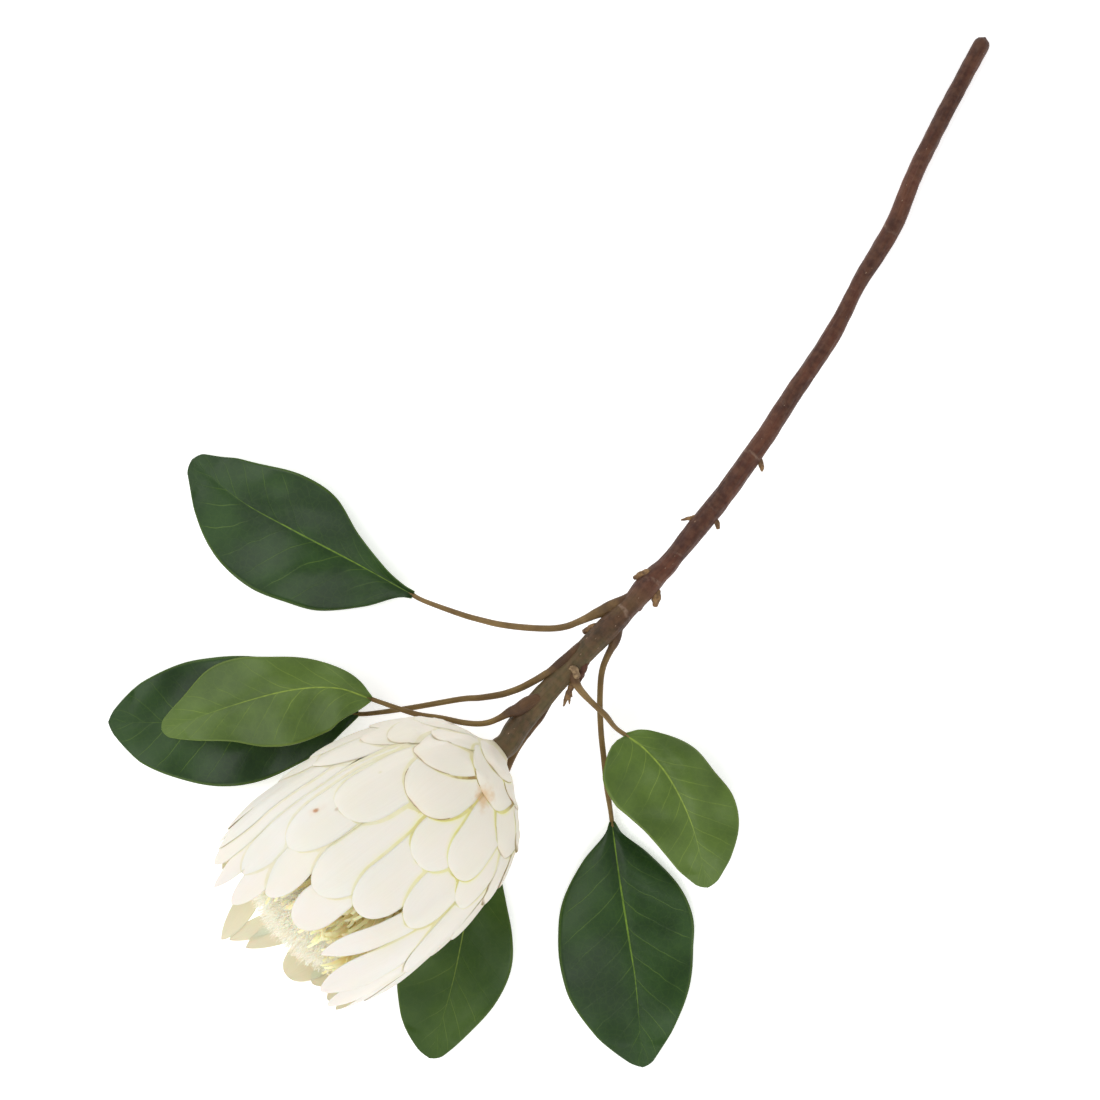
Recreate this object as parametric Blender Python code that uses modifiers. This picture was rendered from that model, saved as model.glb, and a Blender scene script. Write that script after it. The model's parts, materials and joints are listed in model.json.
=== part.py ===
"""Cut protea stem, lying on its side: a woody cane, six stalked leaves and one flower head.

Units are metres and the floor is z = 0. The mouth of the head faces -Y and the cut end of the
cane lies towards +Y. Every route below is written in layout coordinates, and one empty moves the
whole plant so that its box is centred on the origin.
"""

import math
import random

import bmesh
import bpy
from mathutils import Matrix, Vector

# Layout
LAY_CENTRE = Vector((0.0185, 0.0430, 0.0))
SEAT_GAP = 0.0003
FLOOR_CUT_SIZE = 0.4
WELD_DISTANCE = 0.00001

# Flower head: its own Z runs from the cane to the mouth, its own Y is the side that faces up
HEAD_BASE = Vector((0.0446, -0.0924, 0.0393))
HEAD_HEADING = math.radians(11.4)
HEAD_TILT = math.radians(12.0)
HEAD_PROFILE = (
    (0.000, 0.0063), (0.005, 0.0165), (0.010, 0.0255), (0.020, 0.0380), (0.030, 0.0455),
    (0.040, 0.0508), (0.050, 0.0542), (0.070, 0.0583), (0.090, 0.0602), (0.110, 0.0590),
    (0.120, 0.0568), (0.135, 0.0530), (0.150, 0.0495), (0.165, 0.0465),
)

# Bracts: each overlaps the next like a roof tile
BRACT_THICKNESS = 0.0008
TILE_SLOPE = 0.094
NEIGHBOUR_STEP = 0.0125
RANK_JITTER = 0.002
ROOT_SINK = 0.004
ROOT_START = 0.003
LOWEST_ROOT = 0.0004
ROOT_CLIMB = 0.16
FIRST_TIP = 0.017
LAST_RANK = 0.190
GUIDE_STATIONS = (0.005, 0.012, 0.022, 0.042, 0.080, 0.120)
GUIDE_ROOT_GAP = 0.002
GUIDE_TIP_GAP = 0.004
TIP_REACH = 0.070
TIP_ROW_SHARES = (0.22, 0.07, 0.0)
WIDE_BRACT = 0.027
INNER_RADIUS = 0.004
WIDEST_HALF_ANGLE = math.radians(60)
SIDE_CLEARANCE = 0.0006

# Outline of a bract: its width at the root, the share of its length over which it broadens, and
# the cap at its tip as (length in widths, width left at the very tip, fullness), blunt or pointed
ROOT_WIDTH_SHARE = 0.45
BROADENING_SHARE = 0.6
BLUNT_CAP = (0.62, 0.26, 0.50)
POINTED_CAP = (1.10, 0.10, 0.70)
BLUNT_BELOW = 0.118
POINTED_ABOVE = 0.143

# Bracts that face up, as (azimuth in degrees from the top, tip station, width)
SEEN_BRACTS = (
    (8, 0.0170, 0.030), (50, 0.0185, 0.030), (-41, 0.0265, 0.031), (76, 0.0280, 0.030),
    (23, 0.0315, 0.033), (56, 0.0360, 0.032), (-26, 0.0405, 0.034), (-57, 0.0440, 0.033),
    (-68, 0.0540, 0.034), (83, 0.0560, 0.032), (-8, 0.0580, 0.036), (34, 0.0630, 0.027),
    (54, 0.0690, 0.028), (17, 0.0745, 0.029), (-74, 0.0795, 0.034), (-27, 0.0880, 0.031),
    (39, 0.0960, 0.028), (70, 0.1085, 0.030), (17, 0.1120, 0.028), (-32, 0.1175, 0.028),
    (-3, 0.1215, 0.029), (26, 0.1375, 0.019), (4, 0.1380, 0.020), (-19, 0.1400, 0.022),
    (86, 0.1400, 0.024), (-42, 0.1415, 0.023), (46, 0.1475, 0.021), (-66, 0.1475, 0.026),
    (63, 0.1480, 0.021), (-31, 0.1550, 0.019), (-49, 0.1560, 0.020),
)
# Bracts on the far side of the mouth, which show their inner faces
FAR_BRACTS = (
    (102, 0.1430, 0.023), (118, 0.1420, 0.023), (135, 0.1420, 0.024), (150, 0.1490, 0.024),
    (180, 0.1560, 0.017), (192, 0.1590, 0.016), (205, 0.1590, 0.019), (228, 0.1500, 0.020),
    (246, 0.1500, 0.022), (264, 0.1460, 0.024), (282, 0.1420, 0.024),
)
# Rows that face the floor, as (tip station, width, count, first azimuth, last azimuth)
UNDER_ROWS = (
    (0.025, 0.031, 5, 106, 284), (0.041, 0.034, 5, 94, 266), (0.059, 0.035, 4, 114, 246),
    (0.076, 0.033, 4, 98, 262), (0.094, 0.032, 5, 98, 268), (0.112, 0.031, 4, 110, 250),
    (0.128, 0.030, 4, 92, 268),
)
UNDER_SEED = 11
UNDER_JITTER_DEG = 4.0
UNDER_JITTER_TIP = 0.003
BELLY_ROW_TIP = 0.059
BELLY_PLACE = 2
BELLY_AZIMUTH = 180.0

# Receptacle, the solid base that the bracts and the florets grow from
RECEPTACLE_TOP = 0.037
RECEPTACLE_TOP_RADIUS = 0.018
RECEPTACLE_SIDES = 28
RECEPTACLE_STEP = 0.019
RECEPTACLE_COVER = 0.0004
SHOULDER_RISE = 0.004
SHOULDER_INSET = 0.003
RIM_DROP = 0.001
RIM_WIDTH = 0.006

# Florets: tapered styles on a small core, in the spiral that a real flower head follows
FLORET_FLOOR = RECEPTACLE_TOP + SEAT_GAP
CORE_PROFILE = (
    (0.000, 0.015), (0.012, 0.021), (0.032, 0.027), (0.054, 0.029), (0.070, 0.026),
    (0.081, 0.018), (0.086, 0.009),
)
CORE_TOP = 0.088
CORE_SIDES = 18
STYLE_COUNT = 144
STYLE_LOWEST = 0.016
STYLE_STEPS = 200
GOLDEN_ANGLE = math.pi * (3 - math.sqrt(5))
STYLE_LEANS = ((0.010, 42), (0.054, 36), (0.074, 24), (0.086, 9), (0.088, 4))
STYLE_LENGTH = 0.021
STYLE_LENGTH_JITTER = 0.003
STYLE_SINK = 0.006
STYLE_ROOT_RADIUS = 0.0028
STYLE_TIP_RADIUS = 0.0015
STYLE_SEED = 5

# Cane
CANE_ROUTE = (
    (0.0026, 0.3374, 0.0046), (0.0064, 0.3194, 0.0048), (0.0123, 0.2925, 0.0054),
    (0.0186, 0.2660, 0.0064), (0.0267, 0.2396, 0.0077), (0.0298, 0.2216, 0.0087),
    (0.0325, 0.2033, 0.0098), (0.0367, 0.1856, 0.0111), (0.0397, 0.1677, 0.0125),
    (0.0417, 0.1495, 0.0140), (0.0437, 0.1313, 0.0156), (0.0460, 0.1135, 0.0173),
    (0.0474, 0.0954, 0.0192), (0.0488, 0.0770, 0.0211), (0.0492, 0.0498, 0.0242),
    (0.0493, 0.0316, 0.0264), (0.0482, 0.0228, 0.0275), (0.0479, 0.0050, 0.0297),
    (0.0452, -0.0216, 0.0326), (0.0440, -0.0480, 0.0343), (0.0441, -0.0740, 0.0359),
)
CANE_NECK = 0.006
CANE_STEP = 0.011
CANE_END_RADIUS = 0.0045
CANE_NECK_RADIUS = 0.0060
CANE_THICKENING = 1.5
CANE_RESOLUTION = 3
KNOT_SWELL = 0.0009
KNOT_LENGTH = 0.007
# Scars of lost leaves, as (distance from the cut end, roll in degrees, length, radius)
CANE_STUBS = (
    (0.2377, 85, 0.0075, 0.0030), (0.2738, 95, 0.0075, 0.0030), (0.2818, -90, 0.0080, 0.0030),
    (0.3182, -80, 0.0075, 0.0033), (0.3228, 80, 0.0095, 0.0034), (0.3566, -95, 0.0070, 0.0028),
    (0.3888, 110, 0.0120, 0.0032),
)
STUB_SINK = 0.003
STUB_LEAN = 0.35
STUB_SIDES = 7
STUB_ROOT_SHARE = 1.25
STUB_END_SHARE = 0.8

# Leaf stalks
STALK_RADIUS = 0.00165
STALK_ROOT_RADIUS = 0.0025
STALK_ROOT_LENGTH = 0.008
STALK_RESOLUTION = 2
STALK_STEP = 0.009
STALK_END_RUN = 0.006
STALK_ROUTES = {
    "1": ((0.0400, -0.0060, 0.0296), (0.0366, -0.0104, 0.0284), (0.0308, -0.0235, 0.0249),
          (0.0224, -0.0322, 0.0230), (0.0055, -0.0444, 0.0200), (-0.0140, -0.0538, 0.0160)),
    "2": ((0.0420, -0.0454, 0.0370), (0.0378, -0.0472, 0.0360), (0.0325, -0.0558, 0.0320),
          (0.0262, -0.0675, 0.0260), (0.0135, -0.0865, 0.0180), (-0.0029, -0.1065, 0.0120)),
    "3": ((0.0425, -0.0700, 0.0405), (0.0364, -0.0740, 0.0410), (0.0312, -0.0820, 0.0375),
          (0.0212, -0.0940, 0.0320), (0.0013, -0.1060, 0.0280)),
    "4": ((0.0440, -0.0399, 0.0365), (0.0522, -0.0421, 0.0365), (0.0698, -0.0451, 0.0330)),
    "5": ((0.0480, -0.0088, 0.0318), (0.0566, -0.0175, 0.0300), (0.0608, -0.0314, 0.0260),
          (0.0680, -0.0419, 0.0210), (0.0826, -0.0572, 0.0140), (0.1000, -0.0742, 0.0085)),
    "6": ((0.0438, -0.0560, 0.0382), (0.0488, -0.0647, 0.0360), (0.0531, -0.0827, 0.0300),
          (0.0560, -0.0977, 0.0200), (0.0604, -0.1110, 0.0095)),
}

# Leaf blades: half-widths are read at these shares of the midrib, base to tip
WIDTH_SHARES = (0.0, 0.05, 0.14, 0.29, 0.43, 0.57, 0.71, 0.86, 0.93, 1.0)
BLADE_THICKNESS = 0.0008
BLADE_STEP = 0.004
BLADE_ROWS = 11
BLADE_ROW_CROWDING = 1.15
BLADE_COLUMNS = (-1.0, -0.5, 0.0, 0.5, 1.0)
MIDRIB_RADIUS = 0.00165
MIDRIB_TIP_RADIUS = 0.0008
MIDRIB_REACH = 0.88
MIDRIB_RINGS = 7
MIDRIB_TAPER = 0.6
MIDRIB_RESOLUTION = 1
LEFT_WAVE_PHASE = 1.9
# The margins rise most at mid-blade and lie flat again past this share of the midrib
SWELL_END = 0.91
# midrib route, half-widths right and left of it, rise of both margins, wave height and count
BLADES = {
    "1": dict(
        midrib=((-0.0384, -0.0618, 0.0100), (-0.0720, -0.0683, 0.0085),
                (-0.1060, -0.0758, 0.0075), (-0.1364, -0.0815, 0.0060),
                (-0.1683, -0.0817, 0.0040)),
        right=(0.0025, 0.0035, 0.0070, 0.0155, 0.0240, 0.0262, 0.0230, 0.0160, 0.0100, 0.0012),
        left=(0.0025, 0.0060, 0.0172, 0.0300, 0.0338, 0.0352, 0.0306, 0.0178, 0.0104, 0.0012),
        rise=(0.0060, -0.0055), wave=0.0014, waves=2.2),
    "2": dict(
        midrib=((-0.0211, -0.1259, 0.0080), (-0.0468, -0.1489, 0.0070),
                (-0.0798, -0.1806, 0.0055), (-0.1152, -0.2107, 0.0040)),
        right=(0.0025, 0.0070, 0.0171, 0.0277, 0.0317, 0.0319, 0.0292, 0.0205, 0.0130, 0.0012),
        left=(0.0025, 0.0070, 0.0175, 0.0267, 0.0322, 0.0326, 0.0282, 0.0205, 0.0130, 0.0012),
        rise=(-0.0039, 0.0030), wave=0.0015, waves=2.6),
    "3": dict(
        midrib=((-0.0207, -0.1148, 0.0260), (-0.0373, -0.1215, 0.0270),
                (-0.0543, -0.1371, 0.0260), (-0.0715, -0.1615, 0.0235),
                (-0.0913, -0.1948, 0.0190)),
        right=(0.0025, 0.0046, 0.0086, 0.0147, 0.0183, 0.0221, 0.0210, 0.0112, 0.0070, 0.0012),
        left=(0.0025, 0.0090, 0.0192, 0.0251, 0.0267, 0.0241, 0.0165, 0.0103, 0.0070, 0.0012),
        rise=(-0.0030, 0.0045), wave=0.0016, waves=2.4),
    "4": dict(
        midrib=((0.0887, -0.0465, 0.0270), (0.0998, -0.0457, 0.0275), (0.1190, -0.0490, 0.0265),
                (0.1429, -0.0597, 0.0225), (0.1702, -0.0789, 0.0160)),
        right=(0.0025, 0.0200, 0.0262, 0.0284, 0.0262, 0.0226, 0.0188, 0.0126, 0.0080, 0.0012),
        left=(0.0025, 0.0050, 0.0114, 0.0196, 0.0220, 0.0264, 0.0225, 0.0145, 0.0090, 0.0012),
        rise=(0.0040, -0.0035), wave=0.0015, waves=2.1),
    "5": dict(
        midrib=((0.1125, -0.0853, 0.0065), (0.1324, -0.1035, 0.0075),
                (0.1586, -0.1264, 0.0070), (0.1749, -0.1407, 0.0060),
                (0.2045, -0.1704, 0.0035)),
        right=(0.0025, 0.0070, 0.0187, 0.0307, 0.0352, 0.0358, 0.0322, 0.0212, 0.0130, 0.0012),
        left=(0.0025, 0.0076, 0.0200, 0.0306, 0.0340, 0.0310, 0.0256, 0.0160, 0.0092, 0.0012),
        rise=(-0.0045, -0.0032), wave=0.0014, waves=2.5),
    "6": dict(
        midrib=((0.0662, -0.1262, 0.0050), (0.0829, -0.1618, 0.0055),
                (0.1036, -0.2006, 0.0055), (0.1189, -0.2363, 0.0035)),
        right=(0.0025, 0.0059, 0.0118, 0.0210, 0.0270, 0.0292, 0.0278, 0.0206, 0.0136, 0.0014),
        left=(0.0025, 0.0070, 0.0130, 0.0198, 0.0254, 0.0280, 0.0245, 0.0150, 0.0100, 0.0012),
        rise=(-0.0040, 0.0020), wave=0.0012, waves=2.2),
}


def clear_scene():
    for obj in list(bpy.data.objects):
        bpy.data.objects.remove(obj, do_unlink=True)


def new_collection(name):
    collection = bpy.data.collections.new(name)
    bpy.context.scene.collection.children.link(collection)
    return collection


def material(name, colour, roughness):
    made = bpy.data.materials.new(name)
    made.use_nodes = True
    shader = made.node_tree.nodes["Principled BSDF"]
    shader.inputs["Base Color"].default_value = (*colour, 1.0)
    shader.inputs["Roughness"].default_value = roughness
    return made


def smooth_value(table, x):
    """Cubic value at x of a table of (x, y) pairs, with slopes taken from the neighbours."""
    xs = [row[0] for row in table]
    ys = [row[1] for row in table]
    if x <= xs[0]:
        return ys[0]
    if x >= xs[-1]:
        return ys[-1]
    i = max(k for k in range(len(xs) - 1) if xs[k] <= x)

    def slope(k):
        low, high = max(k - 1, 0), min(k + 1, len(xs) - 1)
        return (ys[high] - ys[low]) / (xs[high] - xs[low])

    span = xs[i + 1] - xs[i]
    t = (x - xs[i]) / span
    return (
        (2 * t**3 - 3 * t**2 + 1) * ys[i]
        + (t**3 - 2 * t**2 + t) * span * slope(i)
        + (3 * t**2 - 2 * t**3) * ys[i + 1]
        + (t**3 - t**2) * span * slope(i + 1)
    )


def smooth_route(points, step):
    """Points about one step apart on a Catmull-Rom curve through the given points."""
    points = [Vector(p) for p in points]
    ends = [2 * points[0] - points[1], *points, 2 * points[-1] - points[-2]]
    route = []
    for a, b, c, d in zip(ends, ends[1:], ends[2:], ends[3:]):
        cuts = max(1, round((c - b).length / step))
        for k in range(cuts):
            t = k / cuts
            route.append(
                0.5 * (2 * b + (c - a) * t + (2 * a - 5 * b + 4 * c - d) * t**2
                       + (3 * b - a - 3 * c + d) * t**3)
            )
    route.append(points[-1])
    return route


def distances(route):
    """Distance along the route at each of its points."""
    total = [0.0]
    for a, b in zip(route, route[1:]):
        total.append(total[-1] + (b - a).length)
    return total


def point_at(route, distance):
    """(point, direction) at a distance along the route."""
    along = distances(route)
    distance = min(max(distance, 0.0), along[-1])
    i = max(k for k in range(len(route) - 1) if along[k] <= distance)
    t = (distance - along[i]) / (along[i + 1] - along[i])
    return route[i].lerp(route[i + 1], t), (route[i + 1] - route[i]).normalized()


def tube(name, route, radii, resolution, collection):
    """A round tube with its own radius at each point, made a closed mesh."""
    depth = max(radii)
    curve = bpy.data.curves.new(name, "CURVE")
    curve.dimensions = "3D"
    curve.bevel_depth = depth
    curve.bevel_resolution = resolution
    curve.use_fill_caps = True
    spline = curve.splines.new("POLY")
    spline.points.add(len(route) - 1)
    for point, place, radius in zip(spline.points, route, radii):
        point.co = (*place, 1.0)
        point.radius = radius / depth
    guide = bpy.data.objects.new(name + "_curve", curve)
    collection.objects.link(guide)
    made = baked(guide, name, collection)
    bpy.data.objects.remove(guide, do_unlink=True)
    bm = bmesh.new()
    bm.from_mesh(made.data)
    bmesh.ops.remove_doubles(bm, verts=bm.verts, dist=WELD_DISTANCE)
    bmesh.ops.recalc_face_normals(bm, faces=bm.faces)
    bm.to_mesh(made.data)
    bm.free()
    return made


def baked(obj, name, collection):
    """A new object that holds the evaluated mesh of another, in the same place."""
    bpy.context.view_layer.update()
    graph = bpy.context.evaluated_depsgraph_get()
    mesh = bpy.data.meshes.new_from_object(obj.evaluated_get(graph))
    made = bpy.data.objects.new(name, mesh)
    made.matrix_world = obj.matrix_world
    collection.objects.link(made)
    return made


def fused(body, pieces, name, collection):
    """The body and a collection of pieces as one solid. The pieces are removed."""
    union = body.modifiers.new("union", "BOOLEAN")
    union.operation = "UNION"
    union.operand_type = "COLLECTION"
    union.collection = pieces
    union.solver = "EXACT"
    made = baked(body, name, collection)
    for obj in [body, *pieces.objects]:
        bpy.data.objects.remove(obj, do_unlink=True)
    bpy.data.collections.remove(pieces)
    return made


def keep_outer_skin(obj):
    """Leaves the largest closed skin: hollows that a union sealed and loose scraps go."""
    bm = bmesh.new()
    bm.from_mesh(obj.data)
    unseen = set(bm.verts)
    islands = []
    while unseen:
        reached = [unseen.pop()]
        for vert in reached:
            near = {edge.other_vert(vert) for edge in vert.link_edges} & unseen
            unseen -= near
            reached.extend(near)
        islands.append(reached)
    islands.sort(key=len)
    for island in islands[:-1]:
        bmesh.ops.delete(bm, geom=island, context="VERTS")
    bm.to_mesh(obj.data)
    bm.free()


def sheet_object(name, rows, thickness, offset, collection):
    """An open sheet through rows of points, split alike on both faces, with a thickness."""
    bm = bmesh.new()
    grid = [[bm.verts.new(p) for p in row] for row in rows]
    for low, high in zip(grid, grid[1:]):
        for i in range(len(low) - 1):
            bm.faces.new((low[i], high[i], high[i + 1], low[i + 1]))
    bmesh.ops.triangulate(bm, faces=bm.faces)
    mesh = bpy.data.meshes.new(name)
    bm.to_mesh(mesh)
    bm.free()
    obj = bpy.data.objects.new(name, mesh)
    collection.objects.link(obj)
    solidify = obj.modifiers.new("thickness", "SOLIDIFY")
    solidify.thickness = thickness
    solidify.offset = offset
    return obj


def turned(name, profile, steps, collection):
    """A solid turned about its own Z from a profile that runs from top to bottom."""
    bm = bmesh.new()
    verts = [bm.verts.new((radius, 0.0, height)) for height, radius in profile]
    for a, b in zip(verts, verts[1:]):
        bm.edges.new((a, b))
    mesh = bpy.data.meshes.new(name)
    bm.to_mesh(mesh)
    bm.free()
    obj = bpy.data.objects.new(name, mesh)
    collection.objects.link(obj)
    screw = obj.modifiers.new("turn", "SCREW")
    screw.steps = screw.render_steps = steps
    screw.use_merge_vertices = True
    screw.merge_threshold = WELD_DISTANCE
    made = baked(obj, name, collection)
    bpy.data.objects.remove(obj, do_unlink=True)
    return made


def head_matrix():
    """The head's own frame: X across, Y up out of it, Z from the cane to the mouth."""
    flat = Vector((-math.sin(HEAD_HEADING), -math.cos(HEAD_HEADING), 0.0))
    axis = flat * math.cos(HEAD_TILT) + Vector((0.0, 0.0, math.sin(HEAD_TILT)))
    across = Vector((math.cos(HEAD_HEADING), -math.sin(HEAD_HEADING), 0.0))
    up = axis.cross(across)
    turn = Matrix((across, up, axis)).transposed().to_4x4()
    return Matrix.Translation(HEAD_BASE) @ turn


def in_head(station, radius, azimuth):
    return Vector((radius * math.sin(azimuth), radius * math.cos(azimuth), station))


def shell_radius(station, rank):
    """Radius of a bract's outer face: it lies deeper the further its rank is from the station."""
    return smooth_value(HEAD_PROFILE, station) - TILE_SLOPE * (rank - station)


def root_station(rank):
    return ROOT_START + ROOT_CLIMB * (rank - FIRST_TIP)


def bract_list():
    """Every bract as (azimuth, tip, width), most by hand and those below by rows."""
    bracts = [(math.radians(a), tip, width) for a, tip, width in (*SEEN_BRACTS, *FAR_BRACTS)]
    draw = random.Random(UNDER_SEED)
    for tip, width, count, first, last in UNDER_ROWS:
        for k in range(count):
            azimuth = first + (last - first) * k / (count - 1)
            azimuth += draw.uniform(-UNDER_JITTER_DEG, UNDER_JITTER_DEG)
            reach = tip + draw.uniform(-UNDER_JITTER_TIP, UNDER_JITTER_TIP)
            if tip == BELLY_ROW_TIP and k == BELLY_PLACE:
                azimuth, reach = BELLY_AZIMUTH, tip
            bracts.append((math.radians(azimuth), reach, width))
    return sorted(bracts, key=lambda bract: bract[1])


def half_angle(station, tip, width, rank):
    """Half the angle that a bract takes up round the head at a station, or 0 where it isn't."""
    root = root_station(rank)
    if not root <= station <= tip:
        return 0.0
    return bract_half_width(station, root, tip, width) / smooth_value(HEAD_PROFILE, station)


def overlap(one, other):
    """Whether two bracts lie over each other at any guide station or near the shorter one's tip."""
    apart = abs((one[0] - other[0] + math.pi) % math.tau - math.pi)
    near_tip = min(one[1], other[1]) - TIP_ROW_SHARES[1] * TIP_REACH
    for station in (*GUIDE_STATIONS, near_tip):
        halves = [half_angle(station, *bract[1:]) for bract in (one, other)]
        if all(halves) and apart < sum(halves) + SIDE_CLEARANCE / station:
            return True
    return False


def ranked(bracts):
    """Adds each bract's rank: its tip station, or later where it would cut a neighbour."""
    placed = []
    draw = random.Random(UNDER_SEED)
    for azimuth, tip, width in bracts:
        rank = tip + draw.uniform(0.0, RANK_JITTER)
        for other in placed:
            if overlap((azimuth, tip, width, tip), other):
                rank = max(rank, other[3] + NEIGHBOUR_STEP)
        placed.append((azimuth, tip, width, rank))
    return placed


def bract_half_width(station, root, tip, width):
    """Half-width at a station: narrow at the root, broad past the middle, capped at the tip."""
    share = min((station - root) / (BROADENING_SHARE * (tip - root)), 1.0)
    body = ROOT_WIDTH_SHARE + (1.0 - ROOT_WIDTH_SHARE) * share * share * (3 - 2 * share)
    pointed = min(max((tip - BLUNT_BELOW) / (POINTED_ABOVE - BLUNT_BELOW), 0.0), 1.0)
    length, end, fullness = (
        blunt + (sharp - blunt) * pointed for blunt, sharp in zip(BLUNT_CAP, POINTED_CAP)
    )
    from_tip = min((tip - station) / (length * width), 1.0)
    cap = (1.0 - (1.0 - from_tip) ** 2) ** fullness
    return 0.5 * width * body * max(cap, end)


def bract_piece(index, azimuth, tip, width, rank, collection):
    root = max(root_station(rank) - ROOT_SINK, LOWEST_ROOT)
    reach = min(tip - root, TIP_REACH)
    near_tip = [tip - share * reach for share in TIP_ROW_SHARES]
    low, high = root + GUIDE_ROOT_GAP, near_tip[0] - GUIDE_TIP_GAP
    guides = [station for station in GUIDE_STATIONS if low < station < high]
    columns = 3 if width > WIDE_BRACT else 2
    rows = []
    for station in [root, *guides, *near_tip]:
        radius = max(shell_radius(station, rank), INNER_RADIUS)
        half = bract_half_width(station, root, tip, width) / radius
        half = min(half, WIDEST_HALF_ANGLE)
        rows.append([
            in_head(station, radius, azimuth + half * (2 * k / columns - 1))
            for k in range(columns + 1)
        ])
    return sheet_object(f"bract_{index}", rows, BRACT_THICKNESS, -1.0, collection)


def receptacle(collection):
    """The broad base that the bracts grow from, turned."""
    flank = []
    rank = FIRST_TIP
    while rank < LAST_RANK:
        station = root_station(rank)
        flank.append((station, shell_radius(station, rank) + RECEPTACLE_COVER))
        rank += RECEPTACLE_STEP
    last_station, last_radius = flank[-1]
    crown = [
        (last_station + SHOULDER_RISE, last_radius - SHOULDER_INSET),
        (RECEPTACLE_TOP - RIM_DROP, RECEPTACLE_TOP_RADIUS + RIM_WIDTH),
        (RECEPTACLE_TOP, RECEPTACLE_TOP_RADIUS),
    ]
    profile = [(0.0, 0.0), (0.0, HEAD_PROFILE[0][1]), *flank, *crown, (RECEPTACLE_TOP, 0.0)]
    return turned("receptacle", profile[::-1], RECEPTACLE_SIDES, collection)


def make_bracts(parts, cutters):
    pieces = new_collection("bract_sheets")
    for index, (azimuth, tip, width, rank) in enumerate(ranked(bract_list())):
        bract_piece(index, azimuth, tip, width, rank, pieces)
    bracts = fused(receptacle(parts), pieces, "bracts", parts)
    keep_outer_skin(bracts)
    bracts.matrix_world = head_matrix()
    bpy.ops.mesh.primitive_cube_add(size=FLOOR_CUT_SIZE)
    floor = bpy.context.object
    floor.name = "floor_cutter"
    floor.location = HEAD_BASE - Vector((0.0, 0.0, HEAD_BASE.z + FLOOR_CUT_SIZE / 2))
    move_to(floor, cutters)
    cut(bracts, floor)
    return bracts


def equal_area_heights(count):
    """Heights on the core that split its side into rings of the same area, one for each style."""
    step = (CORE_TOP - STYLE_LOWEST) / STYLE_STEPS
    heights = [STYLE_LOWEST + k * step for k in range(STYLE_STEPS + 1)]
    covered = [0.0]
    for low, high in zip(heights, heights[1:]):
        low_radius, high_radius = core_radius(low), core_radius(high)
        slant = math.hypot(high - low, high_radius - low_radius)
        covered.append(covered[-1] + slant * (low_radius + high_radius))
    table = list(zip(covered, heights))
    return [smooth_value(table, covered[-1] * (k + 0.5) / count) for k in range(count)]


def core_radius(height):
    return smooth_value((*CORE_PROFILE, (CORE_TOP, 0.0)), height)


def make_florets(parts):
    pieces = new_collection("styles")
    draw = random.Random(STYLE_SEED)
    for k, height in enumerate(equal_area_heights(STYLE_COUNT)):
        length = STYLE_LENGTH + draw.uniform(-STYLE_LENGTH_JITTER, STYLE_LENGTH_JITTER)
        style_piece(height, k * GOLDEN_ANGLE, length, pieces)
    profile = [(0.0, 0.0), *CORE_PROFILE, (CORE_TOP, 0.0)]
    florets = fused(turned("core", profile[::-1], CORE_SIDES, parts), pieces, "florets", parts)
    florets.matrix_world = head_matrix() @ Matrix.Translation((0.0, 0.0, FLORET_FLOOR))
    return florets


def style_piece(height, azimuth, length, collection):
    """One three-sided style, rooted in the core and leaning outwards."""
    lean = math.radians(smooth_value(STYLE_LEANS, height))
    outward = Vector((math.sin(azimuth), math.cos(azimuth), 0.0))
    along = outward * math.sin(lean) + Vector((0.0, 0.0, math.cos(lean)))
    start = in_head(height, core_radius(height), azimuth) - along * STYLE_SINK
    start -= outward * STYLE_ROOT_RADIUS
    taper_piece(
        "style", start, along, length + STYLE_SINK, STYLE_ROOT_RADIUS, STYLE_TIP_RADIUS, 3,
        collection,
    )


def taper_piece(name, start, along, length, root_radius, tip_radius, sides, collection):
    """A closed cone from a start point along a direction."""
    bm = bmesh.new()
    bmesh.ops.create_cone(
        bm, cap_ends=True, segments=sides, radius1=root_radius, radius2=tip_radius, depth=length
    )
    turn = along.to_track_quat("Z", "Y").to_matrix().to_4x4()
    place = Matrix.Translation(start + along * length / 2) @ turn
    bmesh.ops.transform(bm, matrix=place, verts=bm.verts)
    mesh = bpy.data.meshes.new(name)
    bm.to_mesh(mesh)
    bm.free()
    collection.objects.link(bpy.data.objects.new(name, mesh))


def move_to(obj, collection):
    for old in obj.users_collection:
        old.objects.unlink(obj)
    collection.objects.link(obj)
    obj.hide_render = True
    obj.display_type = "WIRE"


def cut(obj, cutter):
    difference = obj.modifiers.new("cut by " + cutter.name, "BOOLEAN")
    difference.operation = "DIFFERENCE"
    difference.object = cutter


def cane_route():
    """The cane's points: the hand-laid route, then a straight neck on the head's axis."""
    axis = head_matrix().to_3x3() @ Vector((0.0, 0.0, 1.0))
    neck = [HEAD_BASE - axis * CANE_NECK, HEAD_BASE - axis * SEAT_GAP]
    return smooth_route([*CANE_ROUTE, *neck], CANE_STEP)


def cane_radii(route, extra):
    along = distances(route)
    knots = [stub[0] for stub in CANE_STUBS]
    radii = []
    for distance in along:
        share = distance / along[-1]
        radius = CANE_END_RADIUS + (CANE_NECK_RADIUS - CANE_END_RADIUS) * share**CANE_THICKENING
        nearest = min(abs(distance - knot) for knot in knots)
        radius += KNOT_SWELL * math.exp(-((nearest / KNOT_LENGTH) ** 2))
        radii.append(radius + extra)
    return radii


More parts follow.
